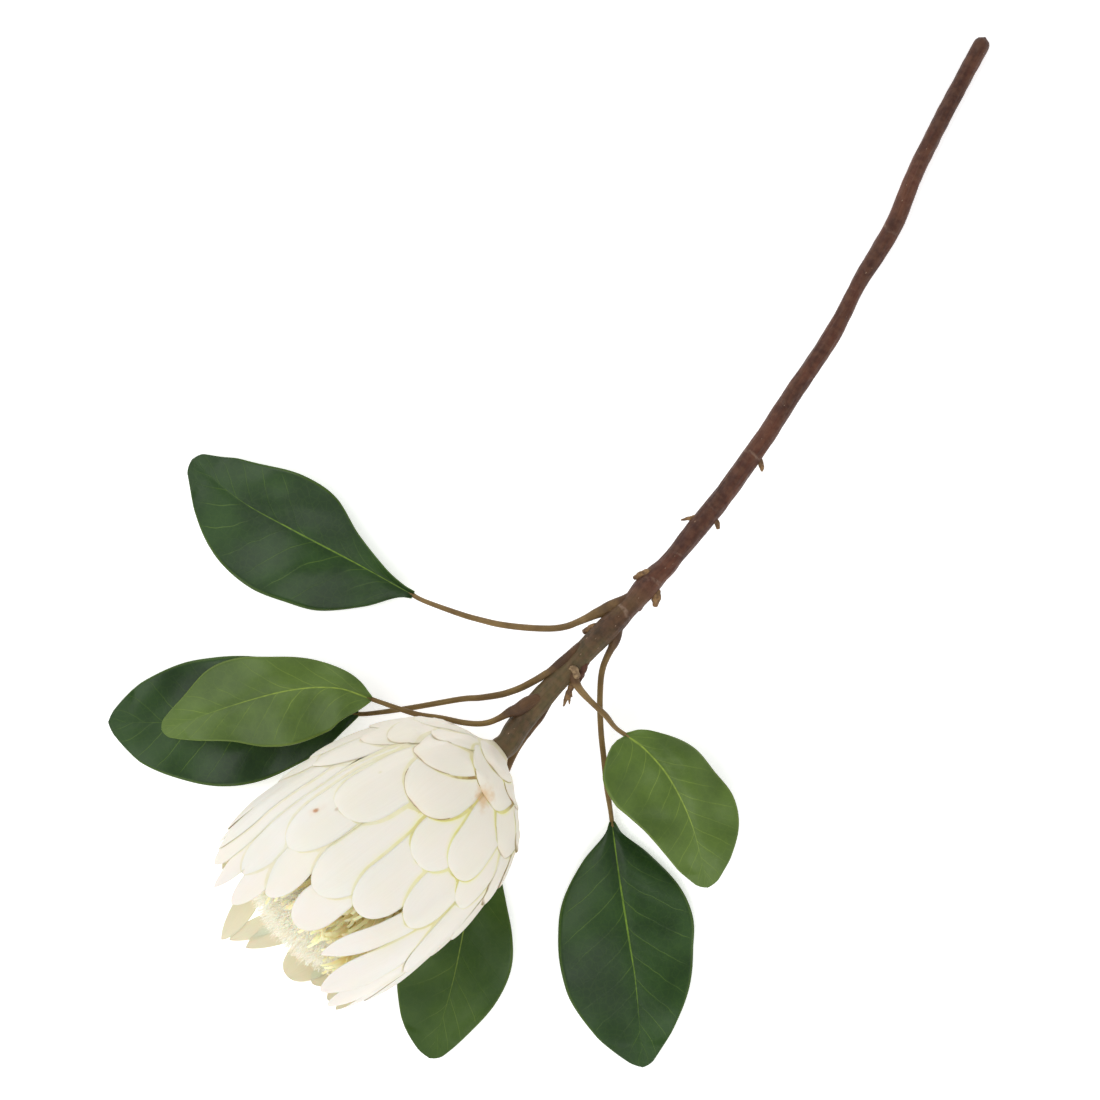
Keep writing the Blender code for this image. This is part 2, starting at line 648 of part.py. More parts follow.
def make_cane(parts, cutters):
    route = cane_route()
    body = tube("cane_body", route, cane_radii(route, 0.0), CANE_RESOLUTION, parts)
    stubs = new_collection("stubs")
    for distance, roll, length, radius in CANE_STUBS:
        stub_piece(route, distance, math.radians(roll), length, radius, stubs)
    cane = fused(body, stubs, "stem", parts)
    seat = tube(
        "stem_seat_cutter", route, cane_radii(route, SEAT_GAP), CANE_RESOLUTION, cutters
    )
    move_to(seat, cutters)
    return cane, seat


def stub_piece(route, distance, roll, length, radius, collection):
    """A short stub at the cane's side. A roll of 90 degrees points to the left of the route."""
    place, direction = point_at(route, distance)
    left = Vector((0.0, 0.0, 1.0)).cross(direction).normalized()
    up = direction.cross(left)
    outward = left * math.sin(roll) + up * math.cos(roll)
    along = (outward + direction * STUB_LEAN).normalized()
    taper_piece(
        "stub", place, along, length + STUB_SINK, radius * STUB_ROOT_SHARE,
        radius * STUB_END_SHARE, STUB_SIDES, collection,
    )


def make_stalk(name, points, seat, parts):
    """A leaf's stalk: thicker at the cane, and ending in line with the midrib, just short of it."""
    base, direction = point_at(smooth_route(BLADES[name]["midrib"], STALK_STEP), 0.0)
    ending = [base - direction * STALK_END_RUN, base - direction * SEAT_GAP]
    route = smooth_route([*points, *ending], STALK_STEP)
    along = distances(route)
    radii = [
        STALK_RADIUS + (STALK_ROOT_RADIUS - STALK_RADIUS) * math.exp(-distance / STALK_ROOT_LENGTH)
        for distance in along
    ]
    stalk = tube("leaf_stalk_" + name, route, radii, STALK_RESOLUTION, parts)
    cut(stalk, seat)
    return stalk


def blade_rows(spec):
    """Rows of points across a blade, from its base to its tip."""
    route = smooth_route(spec["midrib"], BLADE_STEP)
    length = distances(route)[-1]
    right = list(zip(WIDTH_SHARES, spec["right"]))
    left = list(zip(WIDTH_SHARES, spec["left"]))
    rows = []
    for i in range(BLADE_ROWS + 1):
        share = 1.0 - (1.0 - i / BLADE_ROWS) ** BLADE_ROW_CROWDING
        place, direction = point_at(route, share * length)
        side = Vector((direction.y, -direction.x, 0.0)).normalized()
        row = []
        for column in BLADE_COLUMNS:
            half = smooth_value(right if column > 0 else left, share)
            rise = spec["rise"][0 if column > 0 else 1]
            swell = math.sqrt(math.sin(math.pi * min(share / SWELL_END, 1.0)))
            phase = 0.0 if column > 0 else LEFT_WAVE_PHASE
            wave = spec["wave"] * math.sin(math.tau * spec["waves"] * share + phase)
            lift = (rise + wave) * column * column * swell
            row.append(place + side * half * column + Vector((0.0, 0.0, lift)))
        rows.append(row)
    return route, rows


def make_blade(name, spec, parts):
    route, rows = blade_rows(spec)
    sheet = sheet_object("blade_sheet", rows, BLADE_THICKNESS, 0.0, parts)
    reach = MIDRIB_REACH * distances(route)[-1]
    shares = [k / (MIDRIB_RINGS - 1) for k in range(MIDRIB_RINGS)]
    spine = [point_at(route, reach * share)[0] for share in shares]
    radii = [
        MIDRIB_RADIUS + (MIDRIB_TIP_RADIUS - MIDRIB_RADIUS) * share**MIDRIB_TAPER
        for share in shares
    ]
    ribs = new_collection("midribs")
    tube("midrib", spine, radii, MIDRIB_RESOLUTION, ribs)
    return fused(sheet, ribs, "leaf_blade_" + name, parts)


def main():
    clear_scene()
    parts = new_collection("protea")
    cutters = new_collection("cutters")
    layout = bpy.data.objects.new("layout", None)
    parts.objects.link(layout)
    layout.location = -LAY_CENTRE

    bark = material("woody cane", (0.117, 0.062, 0.038), 0.75)
    stalk_skin = material("leaf stalk", (0.22, 0.14, 0.053), 0.6)
    leaf_green = material("leaf green", (0.045, 0.095, 0.028), 0.4)
    bract_white = material("bract white", (0.83, 0.79, 0.71), 0.8)
    floret_cream = material("floret cream", (0.86, 0.77, 0.50), 0.85)

    cane, seat = make_cane(parts, cutters)
    finished = [(cane, bark)]
    for name, points in STALK_ROUTES.items():
        finished.append((make_stalk(name, points, seat, parts), stalk_skin))
    for name, spec in BLADES.items():
        finished.append((make_blade(name, spec, parts), leaf_green))
    finished.append((make_bracts(parts, cutters), bract_white))
    finished.append((make_florets(parts), floret_cream))

    for obj, skin in finished:
        obj.data.materials.clear()
        obj.data.materials.append(skin)
        obj.parent = layout
    for cutter in cutters.objects:
        cutter.parent = layout


main()
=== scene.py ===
# %% [markdown]
# A cut protea stem lies on a pale table: a woody cane, six leaves on long stalks and one white flower head. The solids
# of the flower are loaded first, as a fixed frame.
# Every finer piece below is then laid over the solid that it stands for, in metres, so nothing
# has to be fitted by eye afterwards.

import json
import math
import random
from collections import namedtuple

import bmesh
import bpy
import numpy as np
from mathutils import Matrix, Vector, noise
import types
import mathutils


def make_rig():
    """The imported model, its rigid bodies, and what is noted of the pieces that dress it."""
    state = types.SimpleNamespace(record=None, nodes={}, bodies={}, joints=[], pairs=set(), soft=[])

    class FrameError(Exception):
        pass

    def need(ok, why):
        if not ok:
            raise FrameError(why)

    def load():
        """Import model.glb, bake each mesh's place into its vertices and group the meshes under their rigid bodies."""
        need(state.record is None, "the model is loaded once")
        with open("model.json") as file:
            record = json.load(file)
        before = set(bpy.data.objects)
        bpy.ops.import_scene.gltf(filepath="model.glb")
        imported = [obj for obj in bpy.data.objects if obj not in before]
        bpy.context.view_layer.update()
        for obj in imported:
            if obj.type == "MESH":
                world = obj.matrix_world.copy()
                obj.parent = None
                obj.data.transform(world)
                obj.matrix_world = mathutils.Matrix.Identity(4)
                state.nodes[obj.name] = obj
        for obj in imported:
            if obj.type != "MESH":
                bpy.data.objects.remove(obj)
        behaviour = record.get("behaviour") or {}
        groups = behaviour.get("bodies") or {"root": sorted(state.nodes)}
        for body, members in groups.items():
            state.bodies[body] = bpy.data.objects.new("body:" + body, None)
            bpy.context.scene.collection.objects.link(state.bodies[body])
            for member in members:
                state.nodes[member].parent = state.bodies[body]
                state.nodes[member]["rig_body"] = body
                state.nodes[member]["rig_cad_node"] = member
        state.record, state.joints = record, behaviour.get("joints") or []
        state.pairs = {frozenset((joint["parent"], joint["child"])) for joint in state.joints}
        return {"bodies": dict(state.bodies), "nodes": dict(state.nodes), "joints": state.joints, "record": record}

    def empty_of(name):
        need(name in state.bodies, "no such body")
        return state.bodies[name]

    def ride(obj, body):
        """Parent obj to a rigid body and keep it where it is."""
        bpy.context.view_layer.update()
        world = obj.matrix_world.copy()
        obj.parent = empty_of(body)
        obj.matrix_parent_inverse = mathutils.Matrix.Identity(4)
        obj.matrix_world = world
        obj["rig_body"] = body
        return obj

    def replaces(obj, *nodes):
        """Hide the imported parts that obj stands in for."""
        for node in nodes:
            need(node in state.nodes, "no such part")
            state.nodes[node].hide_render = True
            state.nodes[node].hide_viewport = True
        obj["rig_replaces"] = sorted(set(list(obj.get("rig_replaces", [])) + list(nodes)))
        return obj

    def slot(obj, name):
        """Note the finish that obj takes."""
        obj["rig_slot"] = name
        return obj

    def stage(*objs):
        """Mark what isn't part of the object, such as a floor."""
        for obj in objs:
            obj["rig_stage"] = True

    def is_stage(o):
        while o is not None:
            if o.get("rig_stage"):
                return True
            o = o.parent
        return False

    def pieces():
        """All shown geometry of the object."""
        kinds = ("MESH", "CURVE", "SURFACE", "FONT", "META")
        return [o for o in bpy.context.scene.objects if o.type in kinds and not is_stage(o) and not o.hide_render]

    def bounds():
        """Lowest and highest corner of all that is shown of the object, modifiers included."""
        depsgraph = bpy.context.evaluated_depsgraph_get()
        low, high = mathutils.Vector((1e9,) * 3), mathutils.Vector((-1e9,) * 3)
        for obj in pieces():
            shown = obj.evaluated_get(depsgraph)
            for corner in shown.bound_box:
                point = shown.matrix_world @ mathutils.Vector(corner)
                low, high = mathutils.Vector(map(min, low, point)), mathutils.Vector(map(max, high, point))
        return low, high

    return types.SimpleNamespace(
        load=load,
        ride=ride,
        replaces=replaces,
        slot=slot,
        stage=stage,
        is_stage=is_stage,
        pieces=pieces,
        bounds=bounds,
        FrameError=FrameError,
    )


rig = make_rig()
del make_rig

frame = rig.load()
cad_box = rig.bounds()
print("solids:", sorted(frame["nodes"]))

# %% [markdown]
# A node tree is much easier to read when a sum in it is written as a sum. Wiring each Math node
# by hand is the usual way, and it hides the formula. This small class wraps one socket of a tree,
# and each operator adds one Math node, so that a * 0.5 + b is also what the tree holds. It serves
# geometry trees and material trees alike.

# %% Sockets that can be used in sums
class Flow:
    def __init__(self, tree, socket):
        self.tree = tree
        self.socket = socket

    def math(self, operation, *others):
        node = self.tree.nodes.new("ShaderNodeMath")
        node.operation = operation
        for value, slot in zip((self, *others), node.inputs):
            plug(self.tree, value, slot)
        return Flow(self.tree, node.outputs[0])

    def __add__(self, other):
        return self.math("ADD", other)

    def __sub__(self, other):
        return self.math("SUBTRACT", other)

    def __mul__(self, other):
        return self.math("MULTIPLY", other)

    def __truediv__(self, other):
        return self.math("DIVIDE", other)

    def __pow__(self, other):
        return self.math("POWER", other)

    def less_from(self, value):
        """value - self"""
        return (self * -1.0) + value

    def clamped(self):
        return self.math("MAXIMUM", 0.0).math("MINIMUM", 1.0)

    def ramp(self, low, high):
        """0 at low, 1 at high, smooth between. Low may be the larger one."""
        share = ((self - low) / (high - low)).clamped()
        return share * share * (share * -2.0 + 3.0)


def plug(tree, value, socket):
    if isinstance(value, Flow):
        tree.links.new(value.socket, socket)
    else:
        socket.default_value = value


def add(tree, kind, values=None, output=0, **settings):
    """Adds a node, sets its options and inputs, and returns one of its outputs."""
    node = tree.nodes.new(kind)
    for name, value in settings.items():
        setattr(node, name, value)
    for name, value in (values or {}).items():
        plug(tree, value, node.inputs[name])
    return Flow(tree, node.outputs[output])


def parts_of(tree, vector):
    """The x, y and z of a vector."""
    node = tree.nodes.new("ShaderNodeSeparateXYZ")
    plug(tree, vector, node.inputs[0])
    return [Flow(tree, socket) for socket in node.outputs]


print("a flow also knows:", [name for name in vars(Flow) if not name.startswith("_")])

# %% [markdown]
# Geometry trees follow one pattern here: a base mesh goes in, named inputs carry the sizes, and a
# plain mesh comes out. Copies are made real at the end and given their material. The modifier is
# then dropped, because a finished piece is a plain mesh that rides on the stem.

# %% Build and run a geometry tree
SOCKETS = {
    float: "NodeSocketFloat",
    int: "NodeSocketInt",
    "material": "NodeSocketMaterial",
    "geometry": "NodeSocketGeometry",
}


def new_tree(name, sizes):
    """A geometry tree with named inputs. Returns the tree and its inputs as flows."""
    tree = bpy.data.node_groups.new(name, "GeometryNodeTree")
    tree.interface.new_socket("Geometry", in_out="INPUT", socket_type=SOCKETS["geometry"])
    for label, value in sizes.items():
        kind = SOCKETS["material"] if value is None else SOCKETS[type(value)]
        made = tree.interface.new_socket(label, in_out="INPUT", socket_type=kind)
        if value is not None:
            made.default_value = value
    tree.interface.new_socket("Geometry", in_out="OUTPUT", socket_type=SOCKETS["geometry"])
    source = tree.nodes.new("NodeGroupInput")
    flows = {socket.name: Flow(tree, socket) for socket in source.outputs if socket.name}
    return tree, flows


def end_tree(tree, geometry, skin):
    """Ends a tree in Realize Instances and Set Material."""
    real = add(tree, "GeometryNodeRealizeInstances", {"Geometry": geometry})
    painted = add(tree, "GeometryNodeSetMaterial", {"Geometry": real, "Material": skin})
    ending = tree.nodes.new("NodeGroupOutput")
    tree.links.new(painted.socket, ending.inputs["Geometry"])


def grown(name, base, tree, values):
    """Runs a tree on a base mesh and returns what it made as a plain object."""
    guide = bpy.data.objects.new(name + "_guide", base)
    bpy.context.scene.collection.objects.link(guide)
    modifier = guide.modifiers.new(name, "NODES")
    modifier.node_group = tree
    for item in tree.interface.items_tree:
        if item.in_out == "INPUT" and item.name in values:
            modifier[item.identifier] = values[item.name]
    bpy.context.view_layer.update()
    graph = bpy.context.evaluated_depsgraph_get()
    mesh = bpy.data.meshes.new_from_object(guide.evaluated_get(graph))
    guide.modifiers.remove(modifier)
    bpy.data.objects.remove(guide)
    return new_object(name, mesh)


def new_object(name, mesh):
    piece = bpy.data.objects.new(name, mesh)
    mesh.name = name
    bpy.context.scene.collection.objects.link(piece)
    return piece


def faces_of(piece):
    piece.data.calc_loop_triangles()
    return len(piece.data.loop_triangles)


def points_of(mesh):
    """A mesh's points as an array (point, xyz)."""
    points = np.empty(len(mesh.vertices) * 3)
    mesh.vertices.foreach_get("co", points)
    return points.reshape(-1, 3)


print("a tree takes", ", ".join(sorted(SOCKETS.values(), key=len)))

# %% [markdown]
# Smooth routes and smooth tables carry most of the drawing. A route is a few given points, with a Catmull-Rom curve
# through them, and a table gives a width or a radius in the same way.

# %% Tables
def smooth_value(table, x):
    """Cubic value at x of a table of (x, y) pairs. x may be an array."""
    xs, ys = np.array(table, float).T
    slopes = np.empty_like(ys)
    slopes[1:-1] = (ys[2:] - ys[:-2]) / (xs[2:] - xs[:-2])
    slopes[0] = (ys[1] - ys[0]) / (xs[1] - xs[0])
    slopes[-1] = (ys[-1] - ys[-2]) / (xs[-1] - xs[-2])
    x = np.clip(x, xs[0], xs[-1])
    i = np.clip(np.searchsorted(xs, x, side="right") - 1, 0, len(xs) - 2)
    span = xs[i + 1] - xs[i]
    t = (x - xs[i]) / span
    return (
        (2 * t**3 - 3 * t**2 + 1) * ys[i] + (t**3 - 2 * t**2 + t) * span * slopes[i]
        + (3 * t**2 - 2 * t**3) * ys[i + 1] + (t**3 - t**2) * span * slopes[i + 1]
    )


print("half way up a table of three steps:", smooth_value(((0, 0), (1, 3), (2, 4)), 1.0))


# %% Routes
def smooth_route(points, step):
    """Points about one step apart on a Catmull-Rom curve through the given points."""
    points = np.array(points, float)
    ends = np.vstack([2 * points[0] - points[1], points, 2 * points[-1] - points[-2]])
    route = []
    for a, b, c, d in zip(ends, ends[1:], ends[2:], ends[3:]):
        cuts = max(1, round(float(np.linalg.norm(c - b)) / step))
        for t in np.arange(cuts) / cuts:
            route.append(
                0.5 * (2 * b + (c - a) * t + (2 * a - 5 * b + 4 * c - d) * t**2
                       + (3 * b - a - 3 * c + d) * t**3)
            )
    route.append(points[-1])
    return np.array(route)


def run_lengths(route):
    steps = np.linalg.norm(np.diff(route, axis=0), axis=1)
    return np.concatenate([[0.0], np.cumsum(steps)])


def spaced(route, distances):
    """Points of a route at the given distances from its start."""
    along = run_lengths(route)
    return np.stack([np.interp(distances, along, route[:, k]) for k in range(3)], axis=1)


def ring_angles(sides):
    return np.arange(sides) * math.tau / sides


def wrapped(angle):
    """The same angle between minus and plus half a turn."""
    return (angle + math.pi) % math.tau - math.pi


bend = smooth_route(((0, 0, 0), (1, 0, 0), (1, 1, 0)), 0.1)
print("a bend through three points:", len(bend), "points,", round(run_lengths(bend)[-1], 3), "long")

# %% [markdown]
# Petal-like pieces are sheets with a wall. Solidify gives one thickness all over, but a bract and
# a leaf are thick at the middle and thin at the margin, which is what makes them look soft. So
# the wall is made here from a grid of points: an outer face, an inner face that follows it at a
# distance that may vary, and a rim.

# %% Sheets with a wall
def walled(name, grids, walls, skins):
    """A mesh of closed sheets from grids (sheet, row, column, xyz) and wall thicknesses.

    skins are the outer and the inner material. The UV map runs 0 to 1 across and along.
    """
    sheets, rows, columns, _ = grids.shape
    along = np.gradient(grids, axis=1)
    across = np.gradient(grids, axis=2)
    normals = np.cross(along, across)
    normals /= np.maximum(np.linalg.norm(normals, axis=3, keepdims=True), 1e-12)
    inner = grids - normals * walls[..., None]
    verts = np.concatenate([grids.reshape(-1, 3), inner.reshape(-1, 3)])
    index = np.arange(sheets * rows * columns).reshape(sheets, rows, columns)
    low, high = index[:, :-1, :], index[:, 1:, :]
    outer_faces = np.stack([low[..., :-1], high[..., :-1], high[..., 1:], low[..., 1:]], -1)
    outer_faces = outer_faces.reshape(-1, 4)
    inner_faces = outer_faces[:, ::-1] + index.size
    edge = np.concatenate([
        index[:, 0, :], index[:, 1:, -1], index[:, -1, -2::-1], index[:, -2:0:-1, 0],
    ], axis=1)
    after = np.roll(edge, -1, axis=1)
    rim = np.stack([edge, after, after + index.size, edge + index.size], -1).reshape(-1, 4)
    faces = np.concatenate([outer_faces, inner_faces, rim])
    mesh = bpy.data.meshes.new(name)
    mesh.from_pydata(verts.tolist(), [], faces.tolist())
    for skin in skins:
        mesh.materials.append(skin)
    slots = np.zeros(len(faces), np.int32)
    slots[len(outer_faces):len(outer_faces) + len(inner_faces)] = 1
    mesh.polygons.foreach_set("material_index", slots)
    u, v = np.meshgrid(np.linspace(0, 1, columns), np.linspace(0, 1, rows))
    place = np.tile(np.stack([u, v], -1).reshape(-1, 2), (2 * sheets, 1))
    corners = np.empty(len(mesh.loops), np.int32)
    mesh.loops.foreach_get("vertex_index", corners)
    layer = mesh.uv_layers.new(name="across and along")
    layer.data.foreach_set("uv", place[corners].astype(np.float32).ravel())
    mesh.shade_smooth()
    return new_object(name, mesh)


def paint(piece, label, values):
    """Stores one number a point as an attribute that a material can read."""
    layer = piece.data.attributes.new(label, "FLOAT", "POINT")
    layer.data.foreach_set("value", np.asarray(values, np.float32).ravel())


print("a sheet of 4 by 3 points gets", 2 * 3 * 2, "side faces and", 2 * (3 + 2), "on its rim")

# %% [markdown]
# The camera looks straight down from two metres, as the photograph does, and the stem runs up to
# the right. The floor is plain and pale, and it glows a little, as a light table does, so shadows
# stay faint. One large soft lamp stands on the picture's left and one in front. The rest comes from
# a bright room with a dark ceiling: a leaf that lies flat then mirrors the dark part and stays
# deep green, and only its slopes shine.

# %% Camera
# Places below are measured from the spot under the camera, and the frame's origin lies here
LAY_CENTRE = np.array([0.0185, 0.0430, 0.0])
CAMERA_HEIGHT = 2.0
FRAME_WIDTH = 0.55
FRAME_DISTANCE = 1.97
SENSOR = 36.0
PHOTO_TURN = math.radians(40)

camera = bpy.data.cameras.new("camera")
camera.sensor_width = SENSOR
camera.lens = SENSOR * FRAME_DISTANCE / FRAME_WIDTH
eye = bpy.data.objects.new("camera", camera)
eye.location = (-LAY_CENTRE[0], -LAY_CENTRE[1], CAMERA_HEIGHT)
eye.rotation_euler = (0.0, 0.0, PHOTO_TURN)
bpy.context.scene.collection.objects.link(eye)
bpy.context.scene.camera = eye
print("the camera sees", FRAME_WIDTH, "m, with a lens of", round(camera.lens, 1), "mm")


# %% Two lamps and a bright room
ROOM_LEVEL = 0.86
CEILING_LEVEL = 0.30
# How steeply up one looks where the ceiling begins, and where it is darkest
CEILING_HEIGHTS = (0.70, 0.93)


def area_light(name, place, size, power, target=(0.0, -0.1, 0.0)):
    data = bpy.data.lights.new(name, "AREA")
    data.size = size
    data.energy = power
    lamp = bpy.data.objects.new(name, data)
    lamp.location = place
    lamp.rotation_euler = (Vector(target) - Vector(place)).to_track_quat("-Z", "Y").to_euler()
    bpy.context.scene.collection.objects.link(lamp)


area_light("key", (-1.0, -0.5, 1.6), 1.4, 13.0)
area_light("fill", (0.8, -1.1, 1.5), 1.4, 12.0)

world = bpy.data.worlds.new("room")
bpy.context.scene.world = world
world.use_nodes = True
background = world.node_tree.nodes["Background"]
background.inputs["Color"].default_value = (1.0, 1.0, 1.0, 1.0)
look_way = add(world.node_tree, "ShaderNodeTexCoord", output="Generated")
ceiling = parts_of(world.node_tree, look_way)[2].ramp(*CEILING_HEIGHTS)
glow = ceiling * (CEILING_LEVEL - ROOM_LEVEL) + ROOM_LEVEL
plug(world.node_tree, glow, background.inputs["Strength"])
bpy.context.scene.view_settings.view_transform = "Standard"
print("lamps:", [lamp.name for lamp in bpy.data.lights], "room level", ROOM_LEVEL)

# %% Floor
FLOOR_SIZE = 8.0
FLOOR_LEVEL = -0.0002
FLOOR_FINISH = {
    "Base Color": (0.93, 0.93, 0.93, 1.0), "Roughness": 0.9, "Specular IOR Level": 0.0,
    "Emission Color": (1.0, 1.0, 1.0, 1.0), "Emission Strength": 0.42,
}
bpy.ops.mesh.primitive_plane_add(size=FLOOR_SIZE, location=(0.0, 0.0, FLOOR_LEVEL))
floor = bpy.context.object
floor.name = "floor"
floor_skin = bpy.data.materials.new("pale floor")
floor_skin.use_nodes = True
for label, value in FLOOR_FINISH.items():
    floor_skin.node_tree.nodes["Principled BSDF"].inputs[label].default_value = value
floor.data.materials.append(floor_skin)
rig.stage(floor)
print("floor:", FLOOR_SIZE, "m wide")

# %% [markdown]
# Two effects come back in several finishes: soft mottling and long fine grain. Each is a shader
# node group with named inputs, built once. A group gives out only a mask, and the Principled
# shader stays in the material that uses it.

# %% Shared shader groups
def new_group(name, sizes, results):
    group = bpy.data.node_groups.new(name, "ShaderNodeTree")
    for label, value in sizes.items():
        kind = "NodeSocketVector" if value is None else "NodeSocketFloat"
        made = group.interface.new_socket(label, in_out="INPUT", socket_type=kind)
        if value is not None:
            made.default_value = value
    for label, kind in results.items():
        group.interface.new_socket(label, in_out="OUTPUT", socket_type=kind)
    source = group.nodes.new("NodeGroupInput")
    ending = group.nodes.new("NodeGroupOutput")
    flows = {socket.name: Flow(group, socket) for socket in source.outputs if socket.name}
    return group, flows, ending


def mottle_group():
    """Soft patches from 0 to 1 at a chosen scale."""
    group, given, ending = new_group(
        "mottle", {"Place": None, "Scale": 60.0, "Detail": 4.0}, {"Mask": "NodeSocketFloat"}
    )
    cloud = add(group, "ShaderNodeTexNoise",
                {"Vector": given["Place"], "Scale": given["Scale"], "Detail": given["Detail"]})
    plug(group, cloud.ramp(0.32, 0.68), ending.inputs["Mask"])
    return group


def grain_group():
    """Fine lines that run along the piece: a noise stretched along the third coordinate."""
    group, given, ending = new_group(
        "grain", {"Place": None, "Lines": 60.0, "Stretch": 12.0}, {"Mask": "NodeSocketFloat"}
    )
    x, y, z = parts_of(group, given["Place"])
    stretched = add(group, "ShaderNodeCombineXYZ", {
        "X": x * given["Lines"], "Y": y * given["Lines"],
        "Z": z * given["Lines"] / given["Stretch"],
    })
    cloud = add(group, "ShaderNodeTexNoise", {"Vector": stretched, "Scale": 1.0, "Detail": 3.0})
    plug(group, cloud.ramp(0.25, 0.75), ending.inputs["Mask"])
    return group


MOTTLE = mottle_group()
GRAIN = grain_group()
print("shader groups:", MOTTLE.name, "and", GRAIN.name)

# %% [markdown]
# A colour picked from a photograph is not what a shader takes: it is gamma coded, and it already
# holds the light that fell on the thing. Both are taken out here, so colours below can be written
# as the photograph shows them. The class after it wires one material at a time and keeps each
# finish down to the few lines that make it what it is.

# %% Colours as the photograph shows them
LIGHT_LEVEL = 1.10


def rgb(red, green, blue):
    """A colour as the photograph shows it, turned into the linear numbers that a shader takes."""
    return tuple(((c / 255 + 0.055) / 1.055) ** 2.4 / LIGHT_LEVEL for c in (red, green, blue))


print("the photograph's mid grey in linear numbers:", round(rgb(128, 128, 128)[0], 3))


# %% One material while it is wired
class Finish:
    """One material while it is being wired: its tree, its shader and the usual nodes."""

    def __init__(self, name, roughness, **constants):
        self.skin = bpy.data.materials.new(name)
        self.skin.use_nodes = True
        self.tree = self.skin.node_tree
        self.shader = self.tree.nodes["Principled BSDF"]
        self.shader.inputs["Roughness"].default_value = roughness
        for label, value in constants.items():
            self.shader.inputs[label.replace("_", " ")].default_value = value

    def add(self, kind, values=None, output=0, **settings):
        return add(self.tree, kind, values, output, **settings)

    def place(self, kind="Object"):
        return self.add("ShaderNodeTexCoord", output=kind)

    def sheet_place(self):
        """Across and along a sheet, with a number of its own for each sheet between them."""
        across, along, _ = parts_of(self.tree, self.place("UV"))
        return self.add("ShaderNodeCombineXYZ", {
            "X": across, "Y": self.painted("seed"), "Z": along,
        })

    def ring_place(self):
        """Round and along a tube, without a seam."""
        return self.add("ShaderNodeAttribute", output="Vector", attribute_name="round")

    def painted(self, label):
        return self.add("ShaderNodeAttribute", output="Fac", attribute_name=label)

    def mottle(self, scale, detail=4.0, place=None):
        return self.add("ShaderNodeGroup", {
            "Place": place or self.place(), "Scale": scale, "Detail": detail,
        }, node_tree=MOTTLE)

    def grain(self, lines, stretch, place):
        return self.add("ShaderNodeGroup", {
            "Place": place, "Lines": lines, "Stretch": stretch,
        }, node_tree=GRAIN)

    def mix(self, share, first, second):
        node = self.tree.nodes.new("ShaderNodeMix")
        node.data_type = "RGBA"
        plug(self.tree, share, node.inputs["Factor"])
        for value, slot in ((first, node.inputs[6]), (second, node.inputs[7])):
            plug(self.tree, value if isinstance(value, Flow) else (*value, 1.0), slot)
        return Flow(self.tree, node.outputs[2])

    def finish(self, colour, height=None, distance=0.0003, strength=1.0, roughness=None):
        plug(self.tree, colour, self.shader.inputs["Base Color"])
        if roughness is not None:
            plug(self.tree, roughness, self.shader.inputs["Roughness"])
        if height is not None:
            bump = self.add("ShaderNodeBump", {"Height": height, "Strength": strength,
                                               "Distance": distance})
            plug(self.tree, bump, self.shader.inputs["Normal"])
        return self.skin


print("a finish can use:", [name for name in vars(Finish) if not name.startswith("_")])

# %% [markdown]
# The flower head is a cup of some seventy bracts, laid like roof tiles from the cane to the mouth.
# Each is placed by a rule: its azimuth round the head, how far it leans aside on its way up, the
# station of its tip along the head, its width, and a rank that says how deep it lies. The bracts
# that the camera sees were measured from the photograph one by one, and the ones below follow in
# rows. The solid flower was made by the same rule, so the fine bracts lie over it.

# %% The head's frame and profile
HEAD_BASE = Vector((0.0446, -0.0924, 0.0393)) - Vector(LAY_CENTRE)
HEAD_HEADING = math.radians(11.4)
HEAD_TILT = math.radians(12.0)
HEAD_PROFILE = (
    (0.000, 0.0063), (0.005, 0.0165), (0.010, 0.0255), (0.020, 0.0380), (0.030, 0.0455),
    (0.040, 0.0508), (0.050, 0.0542), (0.070, 0.0583), (0.090, 0.0602), (0.110, 0.0590),
    (0.120, 0.0568), (0.135, 0.0530), (0.150, 0.0495), (0.165, 0.0465),
)


def head_matrix():
    """The head's own frame: X across, Y up out of it, Z from the cane to the mouth."""
    flat = Vector((-math.sin(HEAD_HEADING), -math.cos(HEAD_HEADING), 0.0))
    axis = flat * math.cos(HEAD_TILT) + Vector((0.0, 0.0, math.sin(HEAD_TILT)))
    across = Vector((math.cos(HEAD_HEADING), -math.sin(HEAD_HEADING), 0.0))
    turn = Matrix((across, axis.cross(across), axis)).transposed().to_4x4()
    return Matrix.Translation(HEAD_BASE) @ turn


print("the head is", 2 * max(radius for _, radius in HEAD_PROFILE), "m across")

